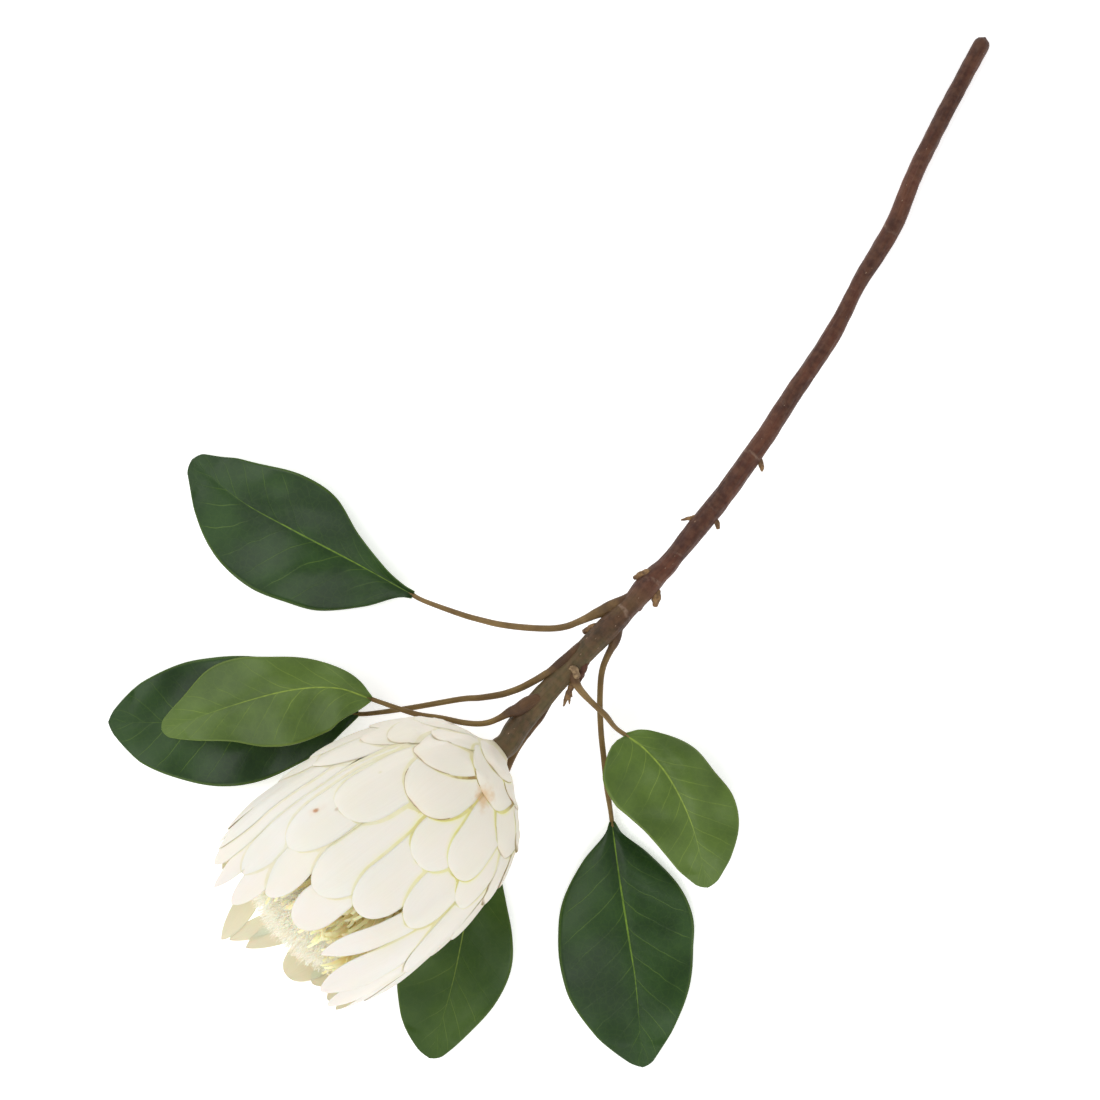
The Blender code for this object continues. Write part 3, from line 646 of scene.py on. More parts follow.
# %% The bracts that can be seen, and the rows below
# Azimuth at the root, lean on the way to the tip, tip station, width, and how pointed it is
SEEN_BRACTS = (
    (8, 0, 0.0130, 0.032, 0.0), (50, 0, 0.0150, 0.030, 0.1), (-41, 0, 0.0265, 0.031, 0.5),
    (75, 3, 0.0270, 0.030, 0.3), (12, 11, 0.0262, 0.036, 0.0), (55, 2, 0.0360, 0.032, 0.2),
    (-20, -10, 0.0405, 0.034, 0.2), (-56, -2, 0.0440, 0.033, 0.9), (-66, -3, 0.0540, 0.034, 0.7),
    (74, 11, 0.0560, 0.032, 0.4), (-8, 0, 0.0580, 0.036, 0.1), (33, 2, 0.0630, 0.027, 0.1),
    (53, 2, 0.0690, 0.028, 0.2), (18, -2, 0.0745, 0.029, 0.2), (-73, -2, 0.0795, 0.034, 0.6),
    (-26, -2, 0.0880, 0.031, 0.3), (39, 0, 0.0960, 0.028, 0.4), (69, 2, 0.1085, 0.030, 0.6),
    (18, -2, 0.1120, 0.028, 0.4), (-32, 0, 0.1175, 0.028, 0.6), (-3, -2, 0.1215, 0.027, 0.5),
    (50, -25, 0.1375, 0.014, 1.6), (3, -1, 0.1385, 0.021, 0.4), (-27, 6, 0.1400, 0.019, 0.8),
    (86, 2, 0.1400, 0.024, 1.0), (-43, 0, 0.1415, 0.020, 0.8), (60, -15, 0.1475, 0.021, 1.0),
    (-69, 0, 0.1475, 0.028, 0.8), (76, -13, 0.1480, 0.021, 0.9), (-33, 0, 0.1550, 0.015, 1.0),
    (-51, 0, 0.1560, 0.014, 1.6),
)
FAR_BRACTS = (
    (102, 0, 0.1430, 0.023, 0.8), (118, 0, 0.1420, 0.023, 0.8), (135, 0, 0.1420, 0.024, 0.7),
    (150, 0, 0.1490, 0.024, 0.3), (160, 22, 0.1560, 0.015, 1.5), (167, 26, 0.1600, 0.012, 1.6),
    (224, -27, 0.1630, 0.015, 1.4), (236, 0, 0.1420, 0.018, 1.0), (250, 0, 0.1380, 0.020, 1.0),
    (266, 0, 0.1380, 0.022, 1.0), (284, 0, 0.1400, 0.024, 1.0),
)
# Rows below: tip station, width, count, first and last azimuth, and how pointed they are
UNDER_ROWS = (
    (0.025, 0.031, 5, 106, 284, 0.3), (0.041, 0.034, 5, 94, 266, 0.3),
    (0.059, 0.035, 4, 114, 246, 0.3), (0.076, 0.033, 4, 98, 262, 0.4),
    (0.094, 0.032, 5, 98, 268, 0.5), (0.112, 0.031, 4, 110, 250, 0.6),
    (0.128, 0.030, 4, 92, 268, 0.8),
)
print(len(SEEN_BRACTS) + len(FAR_BRACTS), "bracts measured,", len(UNDER_ROWS), "rows below")

# %% A bract's root, middle line and width
ROOT_START = 0.003
ROOT_CLIMB = 0.16
ROOT_SINK = 0.004
LOWEST_ROOT = 0.0004
FIRST_TIP = 0.017
ROOT_WIDTH_SHARE = 0.45
BROADENING_SHARE = 0.5
# Length of the cap at the tip in widths, and its fullness, for a blunt and a pointed bract
BLUNT_CAP = (0.42, 0.36)
POINTED_CAP = (1.10, 0.64)

Bract = namedtuple("Bract", "azimuth lean tip width point rank")


def root_of(bract):
    """Later bracts grow from higher up the base."""
    return max(ROOT_START + ROOT_CLIMB * (bract.rank - FIRST_TIP) - ROOT_SINK, LOWEST_ROOT)


def share_of(bract, station):
    root = root_of(bract)
    return np.clip((station - root) / (bract.tip - root), 0.0, 1.0)


def azimuth_of(bract, station):
    return bract.azimuth + bract.lean * share_of(bract, station) ** 2


def half_width(bract, station):
    """Narrow at the root, broad past the middle and closed by a cap at the tip."""
    share = np.clip(share_of(bract, station) / BROADENING_SHARE, 0.0, 1.0)
    body = ROOT_WIDTH_SHARE + (1.0 - ROOT_WIDTH_SHARE) * share * share * (3 - 2 * share)
    length, fullness = (
        blunt + (sharp - blunt) * bract.point
        for blunt, sharp in zip(BLUNT_CAP, POINTED_CAP)
    )
    from_tip = np.clip((bract.tip - station) / (length * bract.width), 0.0, 1.0)
    return 0.5 * bract.width * body * (1.0 - (1.0 - from_tip) ** 2) ** fullness


plain_bract = Bract(0.0, 0.0, 0.09, 0.03, 0.3, 0.09)
print("its width every 15 mm, mm:",
      [round(float(half_width(plain_bract, k * 0.015)) * 2000, 1) for k in range(1, 6)])

# %% Rank the bracts by what lies over what
GUIDE_STATIONS = (0.005, 0.012, 0.022, 0.042, 0.080, 0.120)
TIP_TEST_GAP = 0.0049
SIDE_CLEARANCE = 0.0006
NEIGHBOUR_STEP = 0.0125
RANK_JITTER = 0.002
UNDER_SEED = 11
UNDER_JITTER_DEG = 4.0
UNDER_JITTER_TIP = 0.003


def overlap(one, other):
    for station in (*GUIDE_STATIONS, min(one.tip, other.tip) - TIP_TEST_GAP):
        if max(root_of(one), root_of(other)) < station < min(one.tip, other.tip):
            apart = abs(wrapped(azimuth_of(one, station) - azimuth_of(other, station)))
            reach = half_width(one, station) + half_width(other, station) + SIDE_CLEARANCE
            if apart * float(smooth_value(HEAD_PROFILE, station)) < reach:
                return True
    return False


def ranked_bracts():
    """Every bract, from the cane to the mouth. Where two would cross, the later one lies deeper."""
    rows = [*SEEN_BRACTS, *FAR_BRACTS]
    draw = random.Random(UNDER_SEED)
    for tip, width, count, first, last, point in UNDER_ROWS:
        for k in range(count):
            azimuth = first + (last - first) * k / (count - 1)
            azimuth += draw.uniform(-UNDER_JITTER_DEG, UNDER_JITTER_DEG)
            lean = draw.uniform(-UNDER_JITTER_DEG, UNDER_JITTER_DEG)
            reach = tip + draw.uniform(-UNDER_JITTER_TIP, UNDER_JITTER_TIP)
            rows.append((azimuth, lean, reach, width, point))
    placed = []
    for azimuth, lean, tip, width, point in sorted(rows, key=lambda row: row[2]):
        rank = tip + draw.uniform(0.0, RANK_JITTER)
        bract = Bract(math.radians(azimuth), math.radians(lean), tip, width, point, rank)
        for other in placed:
            if overlap(bract, other):
                rank = max(rank, other.rank + NEIGHBOUR_STEP)
        placed.append(bract._replace(rank=rank))
    return placed


bracts = ranked_bracts()
print(len(bracts), "bracts, deepest rank", round(max(bract.rank for bract in bracts), 4))

# %% [markdown]
# A geometry tree turns the rule into sheets. One point stands for one bract and carries its
# numbers as attributes. A grid is copied to every point, and after the copies are made real the
# tree moves each grid point to its place: the width follows the outline, the radius follows the
# head's profile, and a slow noise makes no two bracts alike. Modelling seventy petals by hand
# would take days, and a petal bent round a curve would not lie this close to its neighbours.

# %% The tree that shapes the bracts
PROFILE_SPAN = 0.18
PROFILE_TOP = 0.07
BRACT_ROWS = 40
BRACT_COLUMNS = 21
TIP_CROWDING = 1.75
SMALLEST_CAP = 0.02
WIDEST_SPREAD = 1.05


def profile_curve(tree, station):
    """The head's radius at a station, from a Float Curve through the profile's points."""
    node = tree.nodes.new("ShaderNodeFloatCurve")
    curve = node.mapping.curves[0]
    points = [(s / PROFILE_SPAN, r / PROFILE_TOP) for s, r in HEAD_PROFILE]
    curve.points[0].location = points[0]
    curve.points[1].location = points[-1]
    for x, y in points[1:-1]:
        curve.points.new(x, y)
    node.mapping.update()
    plug(tree, station / PROFILE_SPAN, node.inputs["Value"])
    return Flow(tree, node.outputs[0]) * PROFILE_TOP


def attribute(tree, label):
    return add(tree, "GeometryNodeInputNamedAttribute", {"Name": label}, data_type="FLOAT")


def cap_share(sharp, width, to_tip):
    """How much of its width a bract keeps near its tip."""
    length = (sharp * (POINTED_CAP[0] - BLUNT_CAP[0]) + BLUNT_CAP[0]) * width
    fullness = sharp * (POINTED_CAP[1] - BLUNT_CAP[1]) + BLUNT_CAP[1]
    from_tip = (to_tip / length).clamped()
    return ((from_tip.less_from(1.0) ** 2.0).less_from(1.0) ** fullness).math(
        "MAXIMUM", SMALLEST_CAP)


def bract_tree():
    tree, given = new_tree("bract rule", {
        "Rows": BRACT_ROWS, "Columns": BRACT_COLUMNS, "Outline ripple": 0.05, "Bract skin": None,
    })
    grid = add(tree, "GeometryNodeMeshGrid", {
        "Size X": 2.0, "Size Y": 1.0, "Vertices X": given["Columns"], "Vertices Y": given["Rows"],
    })
    copies = add(tree, "GeometryNodeInstanceOnPoints",
                 {"Points": given["Geometry"], "Instance": grid})
    sheets = add(tree, "GeometryNodeRealizeInstances", {"Geometry": copies})
    u, v, _ = parts_of(tree, add(tree, "GeometryNodeInputPosition"))
    root, tip, width = (attribute(tree, label) for label in ("root", "tip", "width"))
    sharp, seed = attribute(tree, "sharp"), attribute(tree, "seed")
    up = ((v + 0.5).less_from(1.0) ** TIP_CROWDING).less_from(1.0)
    station = root + (tip - root) * up
    share = (up / BROADENING_SHARE).clamped()
    body = share * share * (share * -2.0 + 3.0) * (1.0 - ROOT_WIDTH_SHARE) + ROOT_WIDTH_SHARE
    side = add(tree, "ShaderNodeCombineXYZ", {
        "X": seed * 7.0 + u.math("SIGN"), "Y": station * 60.0, "Z": seed,
    })
    wander = add(tree, "ShaderNodeTexNoise", {"Vector": side, "Scale": 1.0}) - 0.5
    half = width * 0.5 * body * cap_share(sharp, width, tip - station)
    half = half * (wander * given["Outline ripple"] * 2.0 + 1.0)
    radius = profile_curve(tree, station)
    spread = (half / radius).math("MINIMUM", WIDEST_SPREAD)
    turn = attribute(tree, "azimuth") + attribute(tree, "lean") * (up ** 2.0) + u * spread
    place = add(tree, "ShaderNodeCombineXYZ", {
        "X": radius * turn.math("SINE"), "Y": radius * turn.math("COSINE"), "Z": station,
    })
    moved = add(tree, "GeometryNodeSetPosition", {"Geometry": sheets, "Position": place})
    end_tree(tree, moved, given["Bract skin"])
    return tree


BRACT_TREE = bract_tree()
print("bract tree:", len(BRACT_TREE.nodes), "nodes")

# %% [markdown]
# The bracts are waxy and creamy white. Where one presses on the next, a thin yellow-green line runs beside its margin.
# Painted shade of that crease lies with it: a thin beige line, a wider yellow band and a darker core right at the
# margin. A few near the cane have a brown singed tip with a little fringe.
# Both need distances in millimetres: 'cover' is the distance to the nearest margin that lies over
# the bract, and 'edge' the distance to its own. The finish turns them into lines, and a later
# cell stores them at each point. Real petals are also bruised here and there, and such a mark is a
# soft round mask: the distance along the surface from one place on the head, roughened by a noise.

# %% Outer face of a bract
# Azimuth in degrees, station, radius, strength and colour of each bruise
BRUISES = (
    (-37, 0.0960, 0.0050, 0.25, (226, 196, 160)), (-37, 0.0960, 0.0022, 0.85, (186, 124, 74)),
    (-30, 0.0885, 0.0018, 0.45, (176, 134, 90)), (-33, 0.0600, 0.0014, 0.40, (214, 206, 150)),
    (17, 0.0270, 0.0075, 0.80, (224, 186, 138)),
)
# Where the lines are darkest: azimuth, station and radius
DARK_LINES = ((5, 0.0285, 0.0120), (40, 0.0130, 0.0080))
# Azimuths over which the margins on the shaded flank turn olive
OLIVE_RIM = (math.radians(58), math.radians(72))


def bruise(turn, station, azimuth, where, size, rough):
    """A soft round mask: 1 in the middle of a mark and 0 a little past its size."""
    radius = float(smooth_value(HEAD_PROFILE, where))
    away = ((turn - math.radians(azimuth)) * radius) ** 2.0 + (station - where) ** 2.0
    return (away ** 0.5 + rough * (size * 0.4)).ramp(size * 1.3, size * 0.4)


def bract_outer():
    look = Finish("bract outer face", 0.50, Specular_IOR_Level=0.3, Subsurface_Weight=0.10,
                  Subsurface_Scale=0.003)
    cover, edge, singe = (look.painted(label) for label in ("cover", "edge", "singe"))
    station, turn, fresh = (look.painted(label) for label in ("station", "turn", "fresh"))
    grain = look.grain(60.0, 22.0, look.sheet_place())
    streaks = look.grain(120.0, 16.0, look.sheet_place())
    patches = look.mottle(42.0)
    fine = look.mottle(240.0)
    creamy = look.mix(station.ramp(0.02, 0.15), rgb(244, 234, 220), rgb(241, 236, 229))
    colour = look.mix(patches * 0.5, creamy, rgb(241, 233, 214))
    colour = look.mix(grain * 0.10, colour, rgb(218, 206, 188))
    green = (fresh * (patches * 0.6 + 0.6)).clamped()
    # A wide yellow band beside an overlying margin: partly the flower's own tint, partly painted shade of the crease.
    colour = look.mix(cover.ramp(3.0, 0.3) * green * 0.45, colour, rgb(238, 234, 172))
    # A thin beige line along each overlying margin: painted shade of the crease.
    colour = look.mix(cover.ramp(0.6, 0.1) * (fine * 0.3 + 0.30), colour, rgb(230, 220, 180))
    colour = look.mix(cover.ramp(0.85, 0.2) * green * (fine * 0.3 + 0.6), colour,
                      rgb(236, 230, 138))
    # A darker ochre core right at the overlying margin: painted shade in the crease.
    colour = look.mix(cover.ramp(0.30, 0.0) * green * patches * 0.4, colour, rgb(176, 148, 76))
    for azimuth, where, size in DARK_LINES:
        mask = bruise(turn, station, azimuth, where, size, fine) * cover.ramp(0.8, 0.2)
        colour = look.mix(mask * 0.8, colour, rgb(138, 98, 40))
    colour = look.mix(edge.ramp(0.5, 0.1) * green * 0.4, colour, rgb(234, 226, 170))
    colour = look.mix(singe * edge.ramp(3.0, 0.0) * streaks * 0.5, colour, rgb(228, 200, 146))
    colour = look.mix(singe * edge.ramp(0.8, 0.2) * (fine * 0.4 + 0.6), colour, rgb(150, 106, 54))
    rim = turn.ramp(*OLIVE_RIM) * station.ramp(0.075, 0.055) * edge.ramp(2.4, 0.8)
    colour = look.mix(rim * (fine * 0.4 + 0.5), colour, rgb(136, 116, 62))
    for azimuth, where, size, strength, tone in BRUISES:
        mask = bruise(turn, station, azimuth, where, size, fine) * strength
        colour = look.mix(mask, colour, rgb(*tone))
    return look.finish(colour, grain * 0.5 + patches * 0.3, distance=0.00010, strength=0.5)


BRACT_OUTER = bract_outer()
print("outer face:", len(BRACT_OUTER.node_tree.nodes), "nodes")


# %% Inner face of a bract
def bract_inner():
    look = Finish("bract inner face", 0.55, Specular_IOR_Level=0.3, Subsurface_Weight=0.15,
                  Subsurface_Scale=0.003)
    station = look.painted("station")
    grain = look.grain(60.0, 16.0, look.sheet_place())
    colour = look.mix(station.ramp(0.150, 0.10), rgb(240, 239, 216), rgb(234, 232, 194))
    colour = look.mix(grain * 0.25, colour, rgb(228, 225, 186))
    return look.finish(colour, grain, distance=0.00012, strength=0.4)


BRACT_INNER = bract_inner()
print("inner face:", len(BRACT_INNER.node_tree.nodes), "nodes")

# %% [markdown]
# Now the rule is run. Every bract becomes one point that carries its numbers, the tree turns the
# points into grids, and the grids come back as one array. They still lie on the head's profile
# and cut through one another, as paper petals on a drawing would.

# %% Flat sheets from the tree
LOOK_SEED = 23
WIDTH_GAIN = 1.05


def bract_points(rows):
    """One point for each bract, with its numbers as attributes."""
    draw = random.Random(LOOK_SEED)
    mesh = bpy.data.meshes.new("bract points")
    mesh.from_pydata([(0.0, 0.0, 0.0)] * len(rows), [], [])
    table = {
        "azimuth": [bract.azimuth for bract in rows],
        "lean": [bract.lean for bract in rows],
        "tip": [bract.tip for bract in rows],
        "width": [bract.width * WIDTH_GAIN for bract in rows],
        "root": [root_of(bract) for bract in rows],
        "sharp": [bract.point for bract in rows],
        "seed": [draw.uniform(0.0, 9.0) for bract in rows],
    }
    for label, values in table.items():
        mesh.attributes.new(label, "FLOAT", "POINT").data.foreach_set("value", values)
    return mesh


def sheets_on_profile(rows):
    """The tree's grids as an array (bract, row, column, xyz)."""
    sheets = grown("bract_sheets", bract_points(rows), BRACT_TREE, {"Bract skin": BRACT_OUTER})
    points = points_of(sheets.data)
    bpy.data.objects.remove(sheets)
    return points.reshape(len(rows), BRACT_COLUMNS, BRACT_ROWS, 3).transpose(0, 2, 1, 3)


flat_sheets = sheets_on_profile(bracts)
print("sheets, rows, columns:", flat_sheets.shape[:3])

# %% [markdown]
# In a bud the bracts press on one another, so each one bulges over what lies under it. A cloth
# simulation could do that and would be slow to steer. Here the bracts are laid one by one, from
# the deepest to the outermost, over a map of the radius reached so far. Each takes the height of
# the map, is smoothed as a stiff sheet would be, and then raises the map itself.

# %% A map of the radius round the head
MAP_TURNS = 720
MAP_STATIONS = 360
MAP_LENGTH = 0.18
LAYER_SMOOTHINGS = 14
ENVELOPE_REACH = (14, 40)


def map_place(station, azimuth):
    """Fractional row and column of the map."""
    return (station / MAP_LENGTH * (MAP_STATIONS - 1),
            azimuth % math.tau / math.tau * MAP_TURNS)


def azimuths(grids):
    return np.arctan2(grids[..., 0], grids[..., 1])


def sampled(grid, rows, columns):
    """Values of a grid at fractional rows and columns."""
    r = np.clip(rows, 0, grid.shape[0] - 1.001)
    c = np.clip(columns, 0, grid.shape[1] - 1.001)
    i, j = r.astype(int), c.astype(int)
    a, b = r - i, c - j
    return (
        grid[i, j] * (1 - a) * (1 - b) + grid[i + 1, j] * a * (1 - b)
        + grid[i, j + 1] * (1 - a) * b + grid[i + 1, j + 1] * a * b
    )


def raised(field, lies, height):
    """Lifts the map to a height where a bract lies, and closes it round the head."""
    field[:, :-1] = np.where(lies, np.maximum(field[:, :-1], height), field[:, :-1])
    field[:, -1] = field[:, 0]


def relaxed(heights, below):
    """A stiff sheet over what is below it: smoothed again and again, never let under it."""
    for _ in range(LAYER_SMOOTHINGS):
        padded = np.pad(heights, 1, mode="edge")
        around = (padded[:-2, 1:-1] + padded[2:, 1:-1] + padded[1:-1, :-2] + padded[1:-1, 2:]) / 4
        heights = np.maximum(0.5 * (heights + around), below)
    return heights


def blurred(field):
    """A field smoothed along the head and, without a seam, round it."""
    for axis, reach, mode in ((0, ENVELOPE_REACH[0], "edge"), (1, ENVELOPE_REACH[1], "wrap")):
        for _ in range(2):
            edges = [(reach + 1, reach) if k == axis else (0, 0) for k in range(2)]
            total = np.cumsum(np.pad(field, edges, mode=mode), axis=axis)
            span = 2 * reach + 1
            field = (np.take(total, range(span, total.shape[axis]), axis=axis)
                     - np.take(total, range(total.shape[axis] - span), axis=axis)) / span
    return field


print("one cell of the map:", MAP_LENGTH / MAP_STATIONS * 1000, "mm by", 360 / MAP_TURNS, "degrees")

# %% Lay the bracts one over another
# How much deeper a bract is wanted for each unit of rank, as tiles overlap on a slope
TILE_SLOPE = 0.094
LAYER_GAP = 0.00035
PILLOW = 0.0016
PILLOW_WIDTH = 0.03
TIP_CURL = 0.0012
# How deep below the profile the first bract lies, by station
STACK_DEPTH = ((0.0, 0.0016), (0.02, 0.0040), (0.06, 0.0036), (0.11, 0.0024), (0.18, 0.0014))
MAP_STATION = np.linspace(0, MAP_LENGTH, MAP_STATIONS)


def footprint(bract):
    """Where the map lies under a bract, with the place across it and up it."""
    half = half_width(bract, MAP_STATION) / smooth_value(HEAD_PROFILE, MAP_STATION)
    half = np.clip(half, 1e-4, WIDEST_SPREAD)
    apart = wrapped(ring_angles(MAP_TURNS)[None, :] - azimuth_of(bract, MAP_STATION)[:, None])
    across = apart / half[:, None]
    inside = (MAP_STATION >= root_of(bract)) & (MAP_STATION <= bract.tip)
    up = 1.0 - (1.0 - share_of(bract, MAP_STATION)) ** (1.0 / TIP_CROWDING)
    return (np.abs(across) <= 1.0) & inside[:, None], across, up


def stacked(grids):
    """Each bract's radii, laid over those below, and the map as reached and as the solid has it."""
    ground = smooth_value(HEAD_PROFILE, MAP_STATION) - smooth_value(STACK_DEPTH, MAP_STATION)
    reached = np.repeat(ground[:, None], MAP_TURNS + 1, axis=1)
    wanted = np.zeros(reached.shape)
    draw = random.Random(LOOK_SEED)
    u, v = np.linspace(-1, 1, BRACT_COLUMNS), np.linspace(0, 1, BRACT_ROWS)
    up = 1.0 - (1.0 - v[:, None]) ** TIP_CROWDING
    middle = 1.0 - u[None, :] ** 2
    gap = LAYER_GAP * (1.0 - 0.8 * u[None, :] ** 2)
    pillow = PILLOW * middle * np.sin(math.pi * up ** 1.4) ** 0.5
    station, azimuth = grids[..., 2], azimuths(grids)
    radii = np.zeros(station.shape)
    for k in sorted(range(len(bracts)), key=lambda k: -bracts[k].rank):
        bract = bracts[k]
        below = sampled(reached, *map_place(station[k], azimuth[k])) + gap
        curl = draw.uniform(-0.5, 1.0) * TIP_CURL * up ** 6 * bract.point
        radii[k] = relaxed(below, below) + pillow * (bract.width / PILLOW_WIDTH) + curl
        lies, across, height = footprint(bract)
        rows = np.repeat(height[:, None] * (BRACT_ROWS - 1), MAP_TURNS, axis=1)
        raised(reached, lies, sampled(radii[k], rows, (across + 1.0) / 2.0 * (BRACT_COLUMNS - 1)))
        tile = smooth_value(HEAD_PROFILE, MAP_STATION) - TILE_SLOPE * (bract.rank - MAP_STATION)
        raised(wanted, lies, tile[:, None])
    return radii, reached, wanted


pile = stacked(flat_sheets)
print("the pile reaches", round(float(pile[1].max()) * 1000, 1), "mm from the head's middle line")

# %% [markdown]
# A pile of seventy sheets stands thicker than the solid head. The pile is therefore drawn in, by
# the blurred difference between the radius it reached and the radius that is wanted. That keeps
# every small step between neighbours and brings the head as a whole back to its measured size. In
# a few places the photographed head stands out a little past the solid, and soft humps ask for
# that here.

# %% Bring the pile back to the head's size
# Azimuth, spread, station, reach and height of each hump
FULL_SIDES = (
    (math.radians(92), math.radians(32), 0.135, 0.044, 0.0058),
    (math.radians(90), math.radians(26), 0.062, 0.024, 0.0052),
    (math.radians(85), math.radians(26), 0.030, 0.020, 0.0076),
    (math.radians(-85), math.radians(40), 0.150, 0.042, 0.0056),
    (math.radians(205), math.radians(30), 0.155, 0.030, 0.0020),
)
LEAST_COVER = 0.02


def drawn_in(grids, radii, reached, wanted):
    covered = wanted > 0.0
    turns = np.arange(MAP_TURNS + 1) * math.tau / MAP_TURNS
    for centre, spread, where, reach, height in FULL_SIDES:
        hump = np.exp(-(wrapped(turns - centre) / spread) ** 2) * height
        wanted += np.exp(-((MAP_STATION - where) / reach) ** 2)[:, None] * hump[None, :] * covered
    excess = blurred(np.where(covered, reached - wanted, 0.0))
    excess = excess / (blurred(covered * 1.0) + LEAST_COVER)
    print("pile over the wanted radius, mm:", np.round(excess.mean(axis=1)[::40] * 1000, 2))
    excess = sampled(excess, *map_place(grids[..., 2], azimuths(grids)))
    scale = (radii - excess) / np.hypot(grids[..., 0], grids[..., 1])
    return np.stack([grids[..., 0] * scale, grids[..., 1] * scale, grids[..., 2]], axis=-1)


laid = drawn_in(flat_sheets, *pile)

# %% [markdown]
# The finish asks how far each point lies from a margin. Both distances come from the same rule
# that laid the bracts, so nothing has to be painted by hand.

# %% Distances to the margins
FARTHEST_COVER = 0.020
RANK_MARGIN = 0.001


def cover_distance(grids, rows):
    """Millimetres to the nearest margin that lies over each point, negative under the bract."""
    station, azimuth = grids[..., 2], azimuths(grids)
    radius = np.hypot(grids[..., 0], grids[..., 1])
    ranks = np.array([bract.rank for bract in rows])[:, None, None]
    nearest = np.full(grids.shape[:3], FARTHEST_COVER)
    for over in bracts:
        apart = np.abs(wrapped(azimuth - azimuth_of(over, station))) * radius
        side = apart - half_width(over, np.minimum(station, over.tip)) * WIDTH_GAIN
        past = station - over.tip
        distance = np.where(past > 0, np.hypot(np.maximum(side, 0.0), past), side)
        nearest = np.where(ranks > over.rank + RANK_MARGIN, np.minimum(nearest, distance), nearest)
    return nearest * 1000.0


def edge_distance(grids, rows):
    """Millimetres to the bract's own outline."""
    across = np.abs(np.linspace(-1, 1, BRACT_COLUMNS))
    centre = grids[:, :, BRACT_COLUMNS // 2 : BRACT_COLUMNS // 2 + 1]
    reach = np.linalg.norm(grids[:, :, -1:] - centre, axis=3)
    side = reach * (1.0 - across)
    tips = np.array([bract.tip for bract in rows])[:, None, None]
    return np.minimum(side, tips - grids[..., 2]) * 1000.0


print("widest half of a bract:", round(float(edge_distance(laid, bracts).max()), 1), "mm")

# %% [markdown]
# The sheets now get their wall, and their points are moved into the flower's place. The lowest
# ones are pressed flat against the floor over three millimetres, as a petal under the weight of
# a head would be. The basal bracts and the ones at the mouth are two pieces.

# %% Press what lies lowest on the floor
FLOOR_GAP = 0.0003
PRESSED_BELOW = 0.003


def settled(z):
    """Presses what lies lowest flat on the floor, without moving anything above."""
    lowest = z.min()
    share = (z - lowest) / (PRESSED_BELOW - lowest)
    return np.where(z < PRESSED_BELOW, FLOOR_GAP + share * (PRESSED_BELOW - FLOOR_GAP), z)


def press_to_floor(piece):
    points = points_of(piece.data)
    if points[:, 2].min() < FLOOR_GAP:
        points[:, 2] = settled(points[:, 2])
        piece.data.vertices.foreach_set("co", points.ravel())
        piece.data.update()


print("heights of -1, 1 and 4 mm become, mm:",
      np.round(settled(np.array([-0.001, 0.001, 0.004])) * 1000, 2))

# %% Grow the bracts
# How brown the tip of a bract near the cane is, by its azimuth in degrees
SINGED = {-8: 0.9, -20: 0.8, 8: 0.55, 12: 0.15, 50: 0.9, 55: 0.5, 75: 1.0, 74: 0.8, -56: 0.5,
          -41: 0.4, -66: 0.4}
SINGED_BELOW = 0.06
SINGED_ROWS_FROM = 0.6
# The freshest, greenest lines, and the painted crease shade scaled with them, lie round this azimuth and fade towards
# the mouth
FRESH_AZIMUTH = math.radians(28)
FRESH_SPREAD = math.radians(42)
FRESH_BELOW = 0.125
FRESH_FADE = 0.07
FRESHEST, LEAST_FRESH = 0.95, 0.08
SEED_STEP = 0.37
MARGIN_WALL = 0.00024
MIDDLE_WALL = 0.00060
MOUTH_PIECE_ABOVE = 0.10


def singed_share(bract):
    near_cane = bract.tip < SINGED_BELOW
    return SINGED.get(round(math.degrees(bract.azimuth)), 0.0) if near_cane else 0.0


def grow_bracts(name, rows, grids):
    u, v = np.linspace(-1, 1, BRACT_COLUMNS), np.linspace(0, 1, BRACT_ROWS)
    thin = np.maximum(np.abs(u[None, :]) ** 2, v[:, None] ** 8)
    walls = np.broadcast_to(MIDDLE_WALL + (MARGIN_WALL - MIDDLE_WALL) * thin, grids.shape[:3])
    piece = walled(name, grids, walls, (BRACT_OUTER, BRACT_INNER))
    singed = np.array([singed_share(bract) for bract in rows])[:, None, None]
    each = np.ones((1, BRACT_ROWS, BRACT_COLUMNS))
    turn = azimuths(grids)
    aside = (turn - FRESH_AZIMUTH) / FRESH_SPREAD
    low = np.clip((FRESH_BELOW - grids[..., 2]) / FRESH_FADE, 0.0, 1.0)
    facts = {
        "fresh": FRESHEST * np.exp(-aside ** 2) * low + LEAST_FRESH,
        "cover": cover_distance(grids, rows),
        "edge": edge_distance(grids, rows),
        "station": grids[..., 2],
        "turn": turn,
        "seed": np.arange(len(rows))[:, None, None] * SEED_STEP * each,
        "singe": singed * (v[None, :, None] > SINGED_ROWS_FROM) * each,
    }
    for label, values in facts.items():
        paint(piece, label, np.concatenate([values.ravel(), values.ravel()]))
    piece.data.transform(head_matrix())
    press_to_floor(piece)
    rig.ride(piece, "root")
    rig.slot(piece, "bracts")
    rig.replaces(piece, "bracts")
    print(name, len(rows), "bracts,", faces_of(piece), "triangles")


basal = sum(bract.tip < MOUTH_PIECE_ABOVE for bract in bracts)
grow_bracts("bracts_basal", bracts[:basal], laid[:basal])
grow_bracts("bracts_mouth", bracts[basal:], laid[basal:])

# %% [markdown]
# The receptacle is the broad base inside the bracts. Next to nothing of it shows, but at the neck
# one can look in between the lowest bracts, so it is turned here from its profile, as on a lathe.
# A screw modifier would leave two open poles. Here the poles are single points with a fan of
# triangles round each, so the piece is closed.

# %% Pieces turned on a lathe
def face_outward(piece):
    bm = bmesh.new()
    bm.from_mesh(piece.data)
    bmesh.ops.recalc_face_normals(bm, faces=bm.faces)
    bm.to_mesh(piece.data)
    bm.free()


